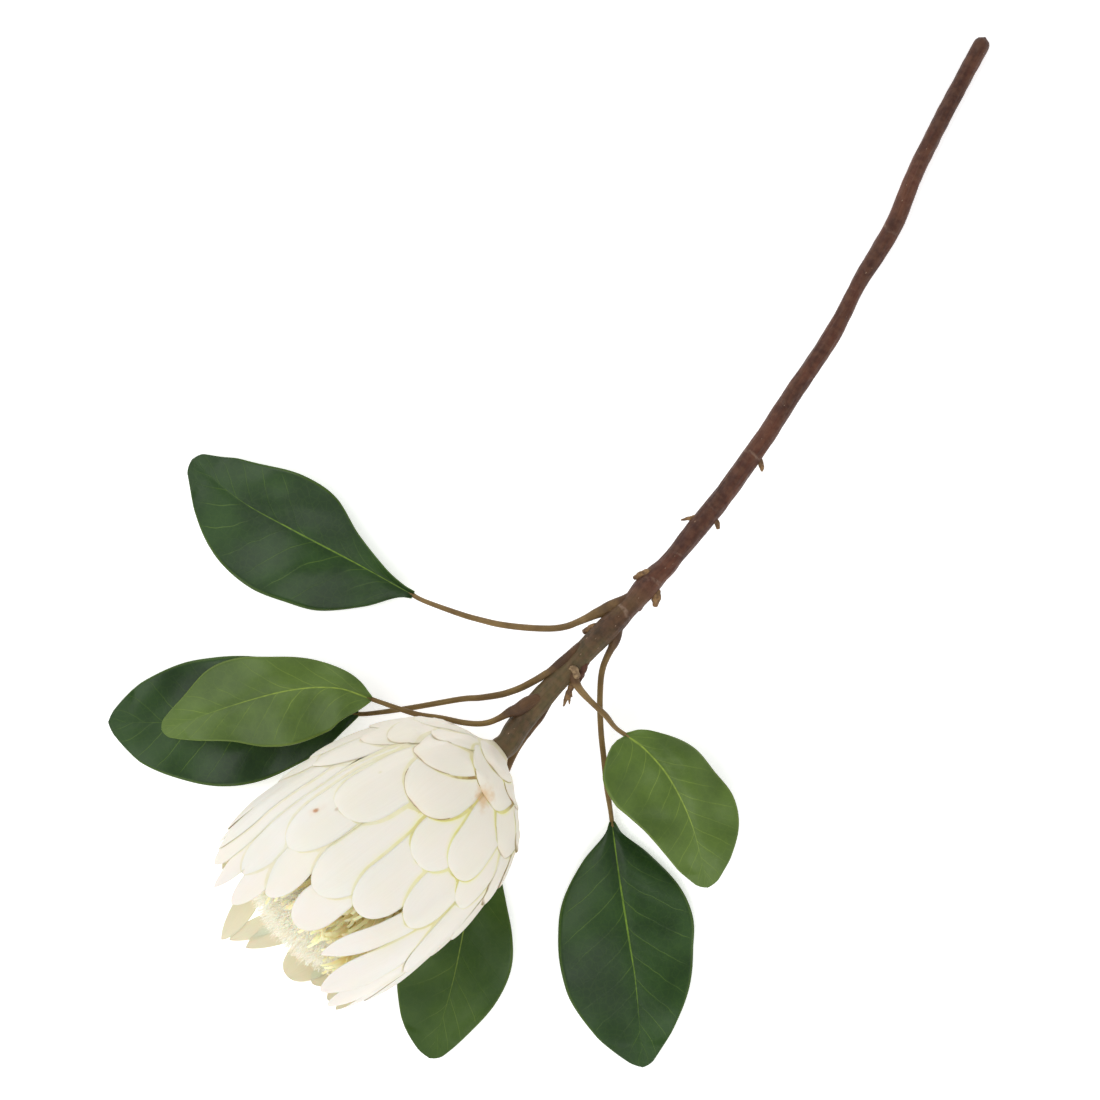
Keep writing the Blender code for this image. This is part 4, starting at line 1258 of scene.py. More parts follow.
def turned(name, profile, sides, skin):
    """A closed piece turned about Z from a (height, radius) profile that runs from pole to pole."""
    verts = [(0.0, 0.0, profile[0][0])]
    for level, radius in profile[1:-1]:
        verts += [(radius * math.sin(a), radius * math.cos(a), level) for a in ring_angles(sides)]
    verts.append((0.0, 0.0, profile[-1][0]))
    rings = len(profile) - 2
    faces = []
    for k in range(sides):
        after = (k + 1) % sides
        faces.append((0, 1 + k, 1 + after))
        for ring in range(rings - 1):
            low = 1 + ring * sides
            faces.append((low + after, low + k, low + sides + k, low + sides + after))
        top = 1 + (rings - 1) * sides
        faces.append((top + after, top + k, len(verts) - 1))
    mesh = bpy.data.meshes.new(name)
    mesh.from_pydata(verts, [], faces)
    mesh.materials.append(skin)
    mesh.shade_smooth()
    piece = new_object(name, mesh)
    face_outward(piece)
    return piece


print("a lathe piece of 4 sides and 1 ring has", 4 + 4, "triangles")

# %% Receptacle
RECEPTACLE_TOP = 0.037
RECEPTACLE_INSET = 0.0018
RECEPTACLE_SIDES = 64
LAST_RANK = 0.190
RANK_STEP = 0.008
NARROWEST = 0.005


def receptacle_profile():
    cone = []
    for rank in np.arange(FIRST_TIP, LAST_RANK, RANK_STEP):
        station = ROOT_START + ROOT_CLIMB * (rank - FIRST_TIP)
        radius = float(smooth_value(HEAD_PROFILE, station)) - TILE_SLOPE * (rank - station)
        cone.append((station, max(radius - RECEPTACLE_INSET, NARROWEST)))
    crown = [(cone[-1][0] + 0.004, cone[-1][1] - 0.003), (0.036, 0.024), (RECEPTACLE_TOP, 0.018)]
    return [(0.0, 0.0), (0.0, 0.0063), *cone, *crown, (RECEPTACLE_TOP, 0.0)]


def receptacle_skin():
    look = Finish("receptacle", 0.6)
    return look.finish(look.mix(look.mottle(90.0), rgb(238, 230, 206), rgb(228, 218, 182)))


receptacle = turned("receptacle", receptacle_profile(), RECEPTACLE_SIDES, receptacle_skin())
receptacle.data.transform(head_matrix())
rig.ride(receptacle, "root")
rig.slot(receptacle, "bracts")
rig.replaces(receptacle, "bracts")
print("receptacle:", faces_of(receptacle), "triangles")

# %% [markdown]
# The middle of the flower is a dome of florets. Yellow styles stand close together all over a
# cone, and white wool covers their tips. One tree grows both: it scatters points on a surface,
# stands a thin tapered strand on each, and bends the strands with a noise that grows towards the
# tip. Particle hair would need its own render settings, and plain strands go wherever a mesh goes.

# %% Helpers for scattered things
def vector_math(tree, operation, *values, scale=None):
    node = tree.nodes.new("ShaderNodeVectorMath")
    node.operation = operation
    for value, slot in zip(values, node.inputs):
        plug(tree, value, slot)
    if scale is not None:
        plug(tree, scale, node.inputs["Scale"])
    return Flow(tree, node.outputs[0])


def scattered(tree, given):
    """Random points on the faces that come in, and the directions that those faces look in."""
    node = tree.nodes.new("GeometryNodeDistributePointsOnFaces")
    for label, socket in (("Geometry", "Mesh"), ("Density", "Density"), ("Seed", "Seed")):
        plug(tree, given[label], node.inputs[socket])
    return Flow(tree, node.outputs["Points"]), Flow(tree, node.outputs["Normal"])


print("helpers:", vector_math.__name__, "and", scattered.__name__)

# %% The tree that grows strands
STRAND_SIDES = 3
STRAND_SEGMENTS = 5


def strand_tree():
    tree, given = new_tree("strands on a surface", {
        "Density": 1000.0, "Seed": 1, "Length": 0.02, "Length spread": 0.3, "Root radius": 0.0005,
        "Tip radius": 0.0002, "Along the head": 0.7, "Jitter": 0.2, "Curl": 0.003,
        "Curl scale": 120.0, "Inward bend": 0.0, "Flatness": 1.0, "Strand skin": None,
    })
    points, normal = scattered(tree, given)
    cone = add(tree, "GeometryNodeMeshCone", {
        "Vertices": STRAND_SIDES, "Side Segments": STRAND_SEGMENTS,
        "Radius Top": given["Tip radius"], "Radius Bottom": given["Root radius"], "Depth": 1.0,
    })
    up = parts_of(tree, add(tree, "GeometryNodeInputPosition"))[2]
    strand = add(tree, "GeometryNodeStoreNamedAttribute", {
        "Geometry": cone, "Name": "along", "Value": up,
    }, data_type="FLOAT", domain="POINT")
    jitter = add(tree, "FunctionNodeRandomValue", {
        "Min": (-1.0, -1.0, -1.0), "Max": (1.0, 1.0, 1.0), "Seed": given["Seed"],
    }, data_type="FLOAT_VECTOR")
    wobble = vector_math(tree, "SCALE", jitter, scale=given["Jitter"])
    axis = add(tree, "ShaderNodeCombineXYZ", {"Z": given["Along the head"]})
    aim = vector_math(tree, "ADD", vector_math(tree, "ADD", normal, axis), wobble)
    turn = add(tree, "FunctionNodeAlignRotationToVector", {"Vector": aim}, axis="Z")
    draw = add(tree, "FunctionNodeRandomValue", {"Seed": given["Seed"] + 5.0}, output=1,
               data_type="FLOAT")
    length = given["Length"] * ((draw - 0.5) * given["Length spread"] * 2.0 + 1.0)
    size = add(tree, "ShaderNodeCombineXYZ", {"X": 1.0, "Y": given["Flatness"], "Z": length})
    stood = add(tree, "GeometryNodeInstanceOnPoints", {
        "Points": points, "Instance": strand, "Rotation": turn, "Scale": size,
    })
    marked = add(tree, "GeometryNodeStoreNamedAttribute", {
        "Geometry": stood, "Name": "strand", "Value": draw,
    }, data_type="FLOAT", domain="INSTANCE")
    real = add(tree, "GeometryNodeRealizeInstances", {"Geometry": marked})
    spot = add(tree, "GeometryNodeInputPosition")
    cloud = add(tree, "ShaderNodeTexNoise", {
        "Vector": spot, "Scale": given["Curl scale"], "W": attribute(tree, "strand") * 40.0,
    }, output=1, noise_dimensions="4D")
    push = vector_math(tree, "SUBTRACT", cloud, (0.5, 0.5, 0.5))
    along = attribute(tree, "along")
    curl = vector_math(tree, "SCALE", push, scale=given["Curl"] * along * 2.0)
    flat = vector_math(tree, "MULTIPLY", spot, (1.0, 1.0, 0.0))
    inward = vector_math(tree, "SCALE", flat, scale=given["Inward bend"] * (along ** 3.0) * -1.0)
    moved = add(tree, "GeometryNodeSetPosition", {
        "Geometry": real, "Offset": vector_math(tree, "ADD", curl, inward),
    })
    end_tree(tree, moved, given["Strand skin"])
    return tree


STRAND_TREE = strand_tree()
print("strand tree:", len(STRAND_TREE.nodes), "nodes")

# %% [markdown]
# Styles are pale yellow straps that darken to ochre between one another. Wool is a warm white,
# and its tips carry small beige flecks where the pollen sits. Light shines through thin hairs many
# times over, which takes many bounces to compute. A faint glow in the finish stands for it.

# %% Floret finishes
def style_skin():
    look = Finish("yellow style", 0.5, Subsurface_Weight=0.35, Subsurface_Scale=0.003,
                  Emission_Color=(0.9, 0.84, 0.55, 1.0), Emission_Strength=0.10)
    along, strand = look.painted("along"), look.painted("strand")
    colour = look.mix(along.ramp(0.05, 0.75), rgb(228, 206, 124), rgb(252, 246, 206))
    colour = look.mix(strand * 0.4, colour, rgb(244, 234, 170))
    return look.finish(colour)


def wool_skin():
    look = Finish("white wool", 0.75, Subsurface_Weight=0.6, Subsurface_Scale=0.004,
                  Emission_Color=(0.9, 0.87, 0.66, 1.0), Emission_Strength=0.03)
    along, strand = look.painted("along"), look.painted("strand")
    colour = look.mix(along.ramp(0.0, 0.4), rgb(244, 239, 210), rgb(251, 248, 230))
    colour = look.mix(strand.ramp(0.90, 0.95) * 0.5, colour, rgb(226, 198, 150))
    return look.finish(colour)


# The floret base glows a little: painted light, which brightens the ochre seen in the shade between the straps.
def core_skin():
    look = Finish("floret base", 0.8, Emission_Color=(0.8, 0.6, 0.2, 1.0),
                  Emission_Strength=0.06)
    patches = look.mottle(420.0)
    colour = look.mix(patches, rgb(196, 166, 84), rgb(226, 206, 140))
    return look.finish(colour, patches, distance=0.001)


# The wool base glows a little: painted light, which brightens the dome where the bracts shade it.
def wool_base_skin():
    look = Finish("wool base", 0.9, Emission_Color=(0.9, 0.80, 0.60, 1.0),
                  Emission_Strength=0.06)
    patches = look.mottle(700.0)
    colour = look.mix(patches, rgb(240, 230, 206), rgb(252, 248, 238))
    return look.finish(colour, patches, distance=0.0012)


STYLE_SKIN, WOOL_SKIN = style_skin(), wool_skin()
CORE_SKIN, WOOL_BASE_SKIN = core_skin(), wool_base_skin()
print("florets:", [skin.name for skin in (STYLE_SKIN, WOOL_SKIN, CORE_SKIN, WOOL_BASE_SKIN)])

# %% [markdown]
# The florets stand on turned surfaces: the cone that the long styles grow from, a barrel just
# inside the bracts where the outermost styles lie flat like straps, and a dome under their tips
# that the wool covers. A low ring in front carries shorter straps, which fill the gaps between the
# bracts at the mouth. The open surfaces only guide the tree.

# %% Surfaces under the florets
FLORET_FLOOR = 0.0373
CORE_PROFILE = (
    (0.000, 0.015), (0.012, 0.021), (0.032, 0.027), (0.054, 0.029), (0.070, 0.026),
    (0.081, 0.018), (0.086, 0.009),
)
CORE_TOP = 0.088
STYLE_BAND = (0.012, 0.062)
BARREL_PROFILE = ((0.020, 0.036), (0.045, 0.0425), (0.066, 0.0415), (0.080, 0.0370))
FRONT_PROFILE = ((0.076, 0.0405), (0.083, 0.0400), (0.090, 0.0385))
FRONT_AZIMUTHS = (-45, 110)
WOOL_PROFILE = (
    (0.070, 0.0250), (0.078, 0.0340), (0.084, 0.0350), (0.091, 0.0310), (0.0970, 0.0220),
    (0.0995, 0.0120),
)
WOOL_TOP = 0.1010
RING_CUTS = 49
# Rings and sides of the closed surfaces
CORE_RINGS, CORE_SIDES = 30, 48
DOME_RINGS, BARREL_RINGS, WIDE_SIDES = 26, 16, 64


def smooth_profile(profile, cuts):
    heights = np.linspace(profile[0][0], profile[-1][0], cuts)
    return [(float(h), float(r)) for h, r in zip(heights, smooth_value(profile, heights))]


def closed(profile, cuts, top):
    """A smooth profile with its two poles."""
    return [(profile[0][0], 0.0), *smooth_profile(profile, cuts), (top, 0.0)]


def ring_surface(name, profile, first=0, last=360):
    """An open part of a turned surface, between two azimuths, that only guides a tree."""
    angles = np.radians(np.linspace(first, last, RING_CUTS))
    verts = [(r * math.sin(a), r * math.cos(a), h) for h, r in profile for a in angles]
    corners = [i * RING_CUTS + j for i in range(len(profile) - 1) for j in range(RING_CUTS - 1)]
    mesh = bpy.data.meshes.new(name)
    mesh.from_pydata(verts, [], [(k, k + RING_CUTS, k + RING_CUTS + 1, k + 1) for k in corners])
    return mesh


core = turned("floret_core", closed(CORE_PROFILE, CORE_RINGS, CORE_TOP), CORE_SIDES, CORE_SKIN)
dome = turned("wool_dome", closed(WOOL_PROFILE, DOME_RINGS, WOOL_TOP), WIDE_SIDES, WOOL_BASE_SKIN)
bed = closed(BARREL_PROFILE, BARREL_RINGS, BARREL_PROFILE[-1][0])
barrel = turned("strap_bed", bed, WIDE_SIDES, CORE_SKIN)
flank = ring_surface("floret_flank", [
    row for row in smooth_profile(CORE_PROFILE, CORE_RINGS)
    if STYLE_BAND[0] < row[0] < STYLE_BAND[1]
])
front = ring_surface("strap_front", FRONT_PROFILE, *FRONT_AZIMUTHS)
print("surfaces:", [piece.name for piece in (core, dome, flank, barrel, front)])

# %% Grow the florets
# The tree's values for each piece, and the surface that it grows on
STRAP = {"Curl": 0.003, "Curl scale": 60.0, "Flatness": 0.5, "Strand skin": STYLE_SKIN}
STRANDS = {
    "straps": (barrel.data.copy(), {
        **STRAP, "Density": 45000.0, "Seed": 5, "Length": 0.015, "Length spread": 0.3,
        "Root radius": 0.00150, "Tip radius": 0.00105, "Along the head": 2.6, "Jitter": 1.0,
        "Inward bend": 0.08,
    }),
    "front_straps": (front, {
        **STRAP, "Density": 70000.0, "Seed": 6, "Length": 0.012, "Length spread": 0.35,
        "Root radius": 0.00130, "Tip radius": 0.00090, "Along the head": 2.4, "Jitter": 1.5,
        "Inward bend": 0.12,
    }),
    "styles": (flank, {
        "Density": 62000.0, "Seed": 3, "Length": 0.036, "Length spread": 0.16,
        "Root radius": 0.0011, "Tip radius": 0.00070, "Along the head": 1.50, "Jitter": 0.30,
        "Curl": 0.010, "Curl scale": 45.0, "Inward bend": 0.20, "Strand skin": STYLE_SKIN,
    }),
    "wool": (dome.data.copy(), {
        "Density": 560000.0, "Seed": 8, "Length": 0.0060, "Length spread": 0.5,
        "Root radius": 0.00020, "Tip radius": 0.00008, "Along the head": 1.0, "Jitter": 0.9,
        "Curl": 0.004, "Curl scale": 160.0, "Inward bend": 0.0, "Strand skin": WOOL_SKIN,
    }),
}


def place_in_head(piece, slot, node):
    piece.data.transform(head_matrix() @ Matrix.Translation((0.0, 0.0, FLORET_FLOOR)))
    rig.ride(piece, "root")
    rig.slot(piece, slot)
    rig.replaces(piece, node)


hairs = [grown(name, base, STRAND_TREE, values) for name, (base, values) in STRANDS.items()]
for piece in (core, dome, barrel, *hairs):
    place_in_head(piece, "florets", "florets")
    print(piece.name, faces_of(piece), "triangles")

# %% [markdown]
# Cane and stalks are swept tubes. A sweep needs a frame that turns as little as possible from
# ring to ring, or the grain would spiral. Each ring's frame is therefore carried over from the
# ring before it. The tube also stores where each point lies round and along it, so bark can be
# textured without a seam.

# %% Swept tubes
CAP_RINGS = 4


def tube_places(distances, sides):
    """(cos, sin, distance) of every point of a tube, ring by ring."""
    turns = ring_angles(sides)
    return np.stack(np.broadcast_arrays(
        np.cos(turns)[None, :], np.sin(turns)[None, :], distances[:, None],
    ), -1).reshape(-1, 3)


def carried_frames(tangents):
    """Two directions across each ring, which turn as little as possible from ring to ring."""
    side = np.cross(tangents[0], (0.0, 0.0, 1.0))
    frames = []
    for tangent in tangents:
        side = side - tangent * side.dot(tangent)
        side /= np.linalg.norm(side)
        frames.append((side.copy(), np.cross(tangent, side)))
    return frames


def swept(route, radii, sides):
    """Points, faces and places of a closed tube with rounded ends.

    radii is one number a ring, or one number for each point of each ring.
    """
    radii = np.array(radii, float)
    if radii.ndim == 1:
        radii = np.repeat(radii[:, None], sides, axis=1)
    tangents = np.gradient(route, axis=0)
    tangents /= np.linalg.norm(tangents, axis=1, keepdims=True)
    along, frames = run_lengths(route), carried_frames(tangents)

    def cap(k, end, way):
        angle = k / (CAP_RINGS + 0.5) * math.pi / 2
        centre = route[end] + way * tangents[end] * radii[end].mean() * 0.5 * math.sin(angle)
        return centre, frames[end], radii[end] * math.cos(angle), along[end]

    stations = [cap(k, 0, -1) for k in range(CAP_RINGS, 0, -1)]
    stations += zip(route, frames, radii, along)
    stations += [cap(k, -1, 1) for k in range(1, CAP_RINGS + 1)]
    turns = ring_angles(sides)[:, None]
    verts = np.concatenate([
        centre + (np.cos(turns) * across[0] + np.sin(turns) * across[1]) * reach[:, None]
        for centre, across, reach, _ in stations
    ])
    index = np.arange(len(verts)).reshape(len(stations), sides)
    after = np.roll(index, -1, axis=1)
    quads = np.stack([index[:-1], after[:-1], after[1:], index[1:]], -1).reshape(-1, 4)
    faces = quads.tolist() + [index[0, ::-1].tolist(), index[-1].tolist()]
    return verts, faces, tube_places(np.array([station[3] for station in stations]), sides)


def tube_piece(name, parts, skin):
    """One object from several swept tubes, with their places stored as the attribute 'round'."""
    verts, faces, places, first = [], [], [], 0
    for part_verts, part_faces, part_places in parts:
        faces += [[first + i for i in face] for face in part_faces]
        first += len(part_verts)
        verts.append(part_verts)
        places.append(part_places)
    mesh = bpy.data.meshes.new(name)
    mesh.from_pydata(np.concatenate(verts).tolist(), [], faces)
    mesh.materials.append(skin)
    mesh.shade_smooth()
    layer = mesh.attributes.new("round", "FLOAT_VECTOR", "POINT")
    layer.data.foreach_set("vector", np.concatenate(places).astype(np.float32).ravel())
    piece = new_object(name, mesh)
    face_outward(piece)
    return piece


def ripple(places, seed, around, along, height):
    """A seamless noise over a tube, from its (cos, sin, distance) places."""
    spots = places * (around, around, along) + seed
    return np.array([noise.noise(Vector(spot)) for spot in spots]) * height


print("a tube of 6 rings and 8 sides has", len(swept(bend[:6], np.full(6, 0.1), 8)[1]), "faces")

# %% [markdown]
# A leaf blade is widest past its middle, with a strong pale midrib in a groove and thin side veins
# that curve towards the tip. Its midrib, the rise of its margins and a slow wave are the numbers
# that the solid leaf was made with, and its outline is a finer reading of the photograph. The
# groove and the puckers between the veins are real relief here, a few tenths of a millimetre, and
# slow waves of a millimetre give the blade its satin lights. The tip is rounded off over three
# millimetres.

# %% The six leaves as numbers
MIDRIB_STEP = 0.002
# Midrib as x, y, z; half widths at these shares of its length; rise of the margins; waves
WIDTH_SHARES = (0.0, 0.05, 0.14, 0.29, 0.43, 0.57, 0.71, 0.86, 0.93, 1.0)
BLADES = {
    "1": dict(
        midrib=((-0.0384, -0.0618, 0.0100), (-0.0720, -0.0683, 0.0085),
                (-0.1060, -0.0758, 0.0075), (-0.1364, -0.0815, 0.0060),
                (-0.1683, -0.0817, 0.0040)),
        right=(0.0016, 0.0018, 0.0046, 0.0132, 0.0246, 0.0268, 0.0236, 0.0165, 0.0104, 0.0046),
        left=(0.0016, 0.0055, 0.0172, 0.0302, 0.0343, 0.0362, 0.0318, 0.0192, 0.0118, 0.0046),
        rise=(0.0060, -0.0055), wave=0.0014, waves=2.2),
    "2": dict(
        midrib=((-0.0211, -0.1259, 0.0080), (-0.0468, -0.1489, 0.0070),
                (-0.0798, -0.1806, 0.0055), (-0.1152, -0.2107, 0.0040)),
        right=(0.0010, 0.0070, 0.0171, 0.0277, 0.0318, 0.0322, 0.0296, 0.0210, 0.0134, 0.0030),
        left=(0.0010, 0.0070, 0.0175, 0.0267, 0.0322, 0.0328, 0.0286, 0.0209, 0.0134, 0.0030),
        rise=(-0.0039, 0.0030), wave=0.0015, waves=2.6),
    "3": dict(
        midrib=((-0.0207, -0.1148, 0.0260), (-0.0373, -0.1215, 0.0270),
                (-0.0543, -0.1371, 0.0260), (-0.0715, -0.1615, 0.0235),
                (-0.0913, -0.1948, 0.0190)),
        right=(0.0010, 0.0050, 0.0092, 0.0147, 0.0183, 0.0221, 0.0210, 0.0120, 0.0080, 0.0034),
        left=(0.0010, 0.0096, 0.0192, 0.0251, 0.0267, 0.0241, 0.0168, 0.0108, 0.0076, 0.0034),
        rise=(-0.0030, 0.0045), wave=0.0016, waves=2.4),
    "4": dict(
        midrib=((0.0887, -0.0465, 0.0270), (0.0998, -0.0457, 0.0275), (0.1190, -0.0490, 0.0265),
                (0.1429, -0.0597, 0.0225), (0.1702, -0.0789, 0.0160)),
        right=(0.0010, 0.0138, 0.0262, 0.0298, 0.0272, 0.0228, 0.0188, 0.0128, 0.0086, 0.0036),
        left=(0.0010, 0.0060, 0.0118, 0.0190, 0.0214, 0.0246, 0.0226, 0.0150, 0.0096, 0.0036),
        rise=(0.0040, -0.0035), wave=0.0015, waves=2.1, lobe=0.0072),
    "5": dict(
        midrib=((0.1125, -0.0853, 0.0065), (0.1324, -0.1035, 0.0075),
                (0.1586, -0.1264, 0.0070), (0.1749, -0.1407, 0.0060),
                (0.2045, -0.1704, 0.0035)),
        right=(0.0010, 0.0050, 0.0170, 0.0304, 0.0354, 0.0366, 0.0338, 0.0226, 0.0140, 0.0034),
        left=(0.0010, 0.0045, 0.0158, 0.0290, 0.0338, 0.0312, 0.0262, 0.0166, 0.0102, 0.0034),
        rise=(-0.0045, -0.0032), wave=0.0014, waves=2.5),
    "6": dict(
        midrib=((0.0662, -0.1262, 0.0050), (0.0829, -0.1618, 0.0055),
                (0.1036, -0.2006, 0.0055), (0.1189, -0.2363, 0.0035)),
        right=(0.0010, 0.0055, 0.0118, 0.0210, 0.0270, 0.0294, 0.0282, 0.0212, 0.0144, 0.0040),
        left=(0.0010, 0.0040, 0.0088, 0.0178, 0.0246, 0.0274, 0.0236, 0.0144, 0.0098, 0.0040),
        rise=(-0.0040, 0.0020), wave=0.0012, waves=2.2),
}


def midrib_route(number):
    return smooth_route(np.array(BLADES[number]["midrib"]) - LAY_CENTRE, MIDRIB_STEP)


print("leaf lengths, mm:", {n: round(run_lengths(midrib_route(n))[-1] * 1000) for n in BLADES})

# %% A leaf's surface
SWELL_END = 0.91
LEFT_WAVE_PHASE = 1.9
GROOVE_DEPTH = 0.0009
GROOVE_WIDTH = 0.0022
# Side veins on each side, the share of the blade that they fill, how far they sweep forwards, how
# they bend on the way, and how far the left ones lie behind the right ones
VEIN_COUNT = 8.5
VEIN_SPAN = 0.82
VEIN_SWEEP = 0.19
VEIN_BEND = 0.85
VEIN_OFFSET = 0.42
PUCKER = 0.0004
DRIFT = 0.0008
BASE_CURL = 0.0016
BASE_CURL_SHARE = 0.035
RELIEF_END = 1.15


def vein_phase(side, share):
    """Counts the side veins: whole numbers lie on a vein. Left and right take turns."""
    reach = np.abs(side) ** VEIN_BEND
    count = (share - VEIN_SWEEP * reach) * VEIN_COUNT / VEIN_SPAN
    return count + np.where(side > 0, 0.0, VEIN_OFFSET)


def leaf_relief(spec, seed, share, column, half):
    """How high each point stands over the plane of the midrib."""
    swell = np.sqrt(np.sin(math.pi * np.minimum(share / SWELL_END, 1.0)))
    rise = np.where(column > 0, *spec["rise"])
    phase = np.where(column > 0, 0.0, LEFT_WAVE_PHASE)
    wave = spec["wave"] * np.sin(math.tau * spec["waves"] * share + phase)
    lift = (rise + wave) * column**2 * swell
    fade = np.clip(RELIEF_END - share, 0.0, 1.0)
    lift = lift - GROOVE_DEPTH * np.exp(-(np.abs(column) * half / GROOVE_WIDTH) ** 2) * fade
    veins = np.abs((vein_phase(column, share) + 0.5) % 1.0 - 0.5)
    inside = np.sqrt(np.clip(1.0 - np.abs(column), 0.0, 1.0)) * fade
    lift = lift + BASE_CURL * column**2 * np.exp(-(share / BASE_CURL_SHARE) ** 2)
    lift = lift + PUCKER * np.sin(math.pi * np.minimum(veins * 2.0, 1.0)) * inside * 0.5
    draw = random.Random(seed)
    drift = sum(
        np.sin(share * draw.uniform(9, 21) + column * draw.uniform(-4, 4) + draw.uniform(0, 6))
        for _ in range(3)
    )
    return lift + DRIFT * drift * np.minimum(1.0, np.abs(column) * 2.0) * swell


print("side veins on each side of a leaf:", round(VEIN_COUNT))

# %% A leaf's grid of points
LEAF_ROWS = 96
LEAF_COLUMNS = 33
LEAF_WALL = 0.00055
LEAF_CLEARANCE = 0.0004
TIP_ROUND = 0.0030
SMALLEST_ROUNDING = 0.004
LOBE_SHARE = 0.06
# Rows crowd towards the tip, and columns towards the midrib
ROW_CROWDING = 1.3
COLUMN_CROWDING = 1.15


def leaf_grid(number):
    """Points of a blade's upper face, from its base to its tip and from left to right."""
    spec, route = BLADES[number], midrib_route(number)
    length = run_lengths(route)[-1]
    shares = 1.0 - (1.0 - np.linspace(0, 1, LEAF_ROWS)) ** ROW_CROWDING
    places = spaced(route, shares * length)
    ahead = np.gradient(places, axis=0)
    sides = np.stack([ahead[:, 1], -ahead[:, 0], np.zeros(LEAF_ROWS)], 1)
    sides /= np.linalg.norm(sides, axis=1, keepdims=True)
    ahead = ahead / np.linalg.norm(ahead, axis=1, keepdims=True)
    rounding = np.clip((1.0 - shares) * length / TIP_ROUND, SMALLEST_ROUNDING, 1.0)
    rounding = np.sqrt(1.0 - (1.0 - rounding) ** 2)
    right, left = (
        (smooth_value(tuple(zip(WIDTH_SHARES, spec[name])), shares) * rounding)[:, None]
        for name in ("right", "left")
    )
    t = np.linspace(1, -1, LEAF_COLUMNS)
    columns = np.sign(t) * np.abs(t) ** COLUMN_CROWDING
    share, column = np.meshgrid(shares, columns, indexing="ij")
    half = np.where(column > 0, right, left)
    lift = leaf_relief(spec, int(number), share, column, half)
    lobe = share / LOBE_SHARE * np.exp(1.0 - share / LOBE_SHARE) * np.clip(column, 0.0, 1.0) ** 2
    points = places[:, None, :] + sides[:, None, :] * (half * column)[..., None]
    points = points - ahead[:, None, :] * (spec.get("lobe", 0.0) * lobe)[..., None]
    points = points + np.array([0.0, 0.0, 1.0]) * (lift + LEAF_WALL * 0.5)[..., None]
    points[..., 2] = np.maximum(points[..., 2], LEAF_WALL + LEAF_CLEARANCE)
    return points


print("a blade's grid:", leaf_grid("1").shape[:2], "points")

# %% [markdown]
# All six leaves share one finish. Only the greens change, because the old leaves are dark and
# the young ones fresh. The vein lines follow the same formula as the relief: a count that grows
# from base to tip and sweeps forwards at the margin.

# %% Masks for the veins
def vein_group():
    """Masks of a leaf's midrib, side veins, fine net and margin from its UV map."""
    group, given, ending = new_group(
        "leaf veins", {"Place": None, "Spot": None},
        {name: "NodeSocketFloat" for name in ("Midrib", "Veins", "Net", "Margin")},
    )
    across, share, _ = parts_of(group, given["Place"])
    side = across * -2.0 + 1.0
    reach = side.math("ABSOLUTE")
    wander = add(group, "ShaderNodeTexNoise", {"Vector": given["Spot"], "Scale": 70.0}) - 0.5
    phase = (share - (reach ** VEIN_BEND) * VEIN_SWEEP) * (VEIN_COUNT / VEIN_SPAN)
    phase = phase + side.math("LESS_THAN", 0.0) * VEIN_OFFSET + wander * 0.34
    gap = (phase.math("FRACT") - 0.5).math("ABSOLUTE").less_from(0.5)
    width = reach * -0.024 + 0.040
    plug(group, (gap / width).ramp(1.0, 0.25) * reach.ramp(1.0, 0.85), ending.inputs["Veins"])
    rib_width = share.ramp(0.9, 0.0) * 0.026 + share.ramp(0.12, 0.0) * 0.08 + 0.009
    plug(group, (reach / rib_width).ramp(1.0, 0.45), ending.inputs["Midrib"])
    net = add(group, "ShaderNodeTexVoronoi", {"Vector": given["Spot"], "Scale": 260.0},
              feature="DISTANCE_TO_EDGE")
    plug(group, net.ramp(0.10, 0.02), ending.inputs["Net"])
    plug(group, reach.ramp(0.955, 0.985), ending.inputs["Margin"])
    return group


VEINS = vein_group()


def leaf_masks(look):
    node = look.tree.nodes.new("ShaderNodeGroup")
    node.node_tree = VEINS
    plug(look.tree, look.place("UV"), node.inputs["Place"])
    plug(look.tree, look.place(), node.inputs["Spot"])
    return [Flow(look.tree, socket) for socket in node.outputs]


print("masks:", [socket.name for socket in VEINS.interface.items_tree if socket.in_out == "OUTPUT"])


# %% Leaf finishes
def leaf_skin(name, deep, bright, rib, vein_strength, roughness):
    look = Finish(name, roughness, Specular_IOR_Level=0.27)
    midrib, veins, net, margin = leaf_masks(look)
    _, share, _ = parts_of(look.tree, look.place("UV"))
    patches = look.mottle(34.0)
    fine = look.mottle(380.0)
    colour = look.mix(patches, deep, bright)
    colour = look.mix(share.ramp(0.55, 1.0) * 0.35, colour, bright)
    colour = look.mix(net * 0.03, colour, rib)
    colour = look.mix(veins * patches * vein_strength, colour, rib)
    colour = look.mix(margin * 0.25, colour, rib)
    colour = look.mix(midrib * share.ramp(0.95, 0.35) * (fine * 0.5 + 0.5), colour, rib)
    height = patches * 0.3 + net.less_from(1.0) * 0.08 - veins * 0.25
    return look.finish(colour, height, distance=0.00022, strength=0.5)


def leaf_under(name, tone, rib):
    look = Finish(name, 0.6)
    midrib, veins, _, _ = leaf_masks(look)
    colour = look.mix(veins * 0.5, tone, rib)
    return look.finish(look.mix(midrib, colour, rib))


DARK_LEAF = leaf_skin("dark leaf", rgb(30, 54, 21), rgb(46, 74, 31), rgb(112, 142, 46), 0.35, 0.34)
LIGHT_LEAF = leaf_skin("light leaf", rgb(72, 94, 38), rgb(90, 114, 48), rgb(146, 168, 66), 0.45,
                       0.38)
MIDDLE_LEAF = leaf_skin("middle leaf", rgb(46, 73, 18), rgb(62, 89, 25), rgb(116, 136, 56), 0.40,
                        0.38)
UNDERSIDE = leaf_under("leaf underside", rgb(112, 136, 92), rgb(160, 176, 112))
print("leaf finishes:", [skin.name for skin in (DARK_LEAF, LIGHT_LEAF, MIDDLE_LEAF, UNDERSIDE)])

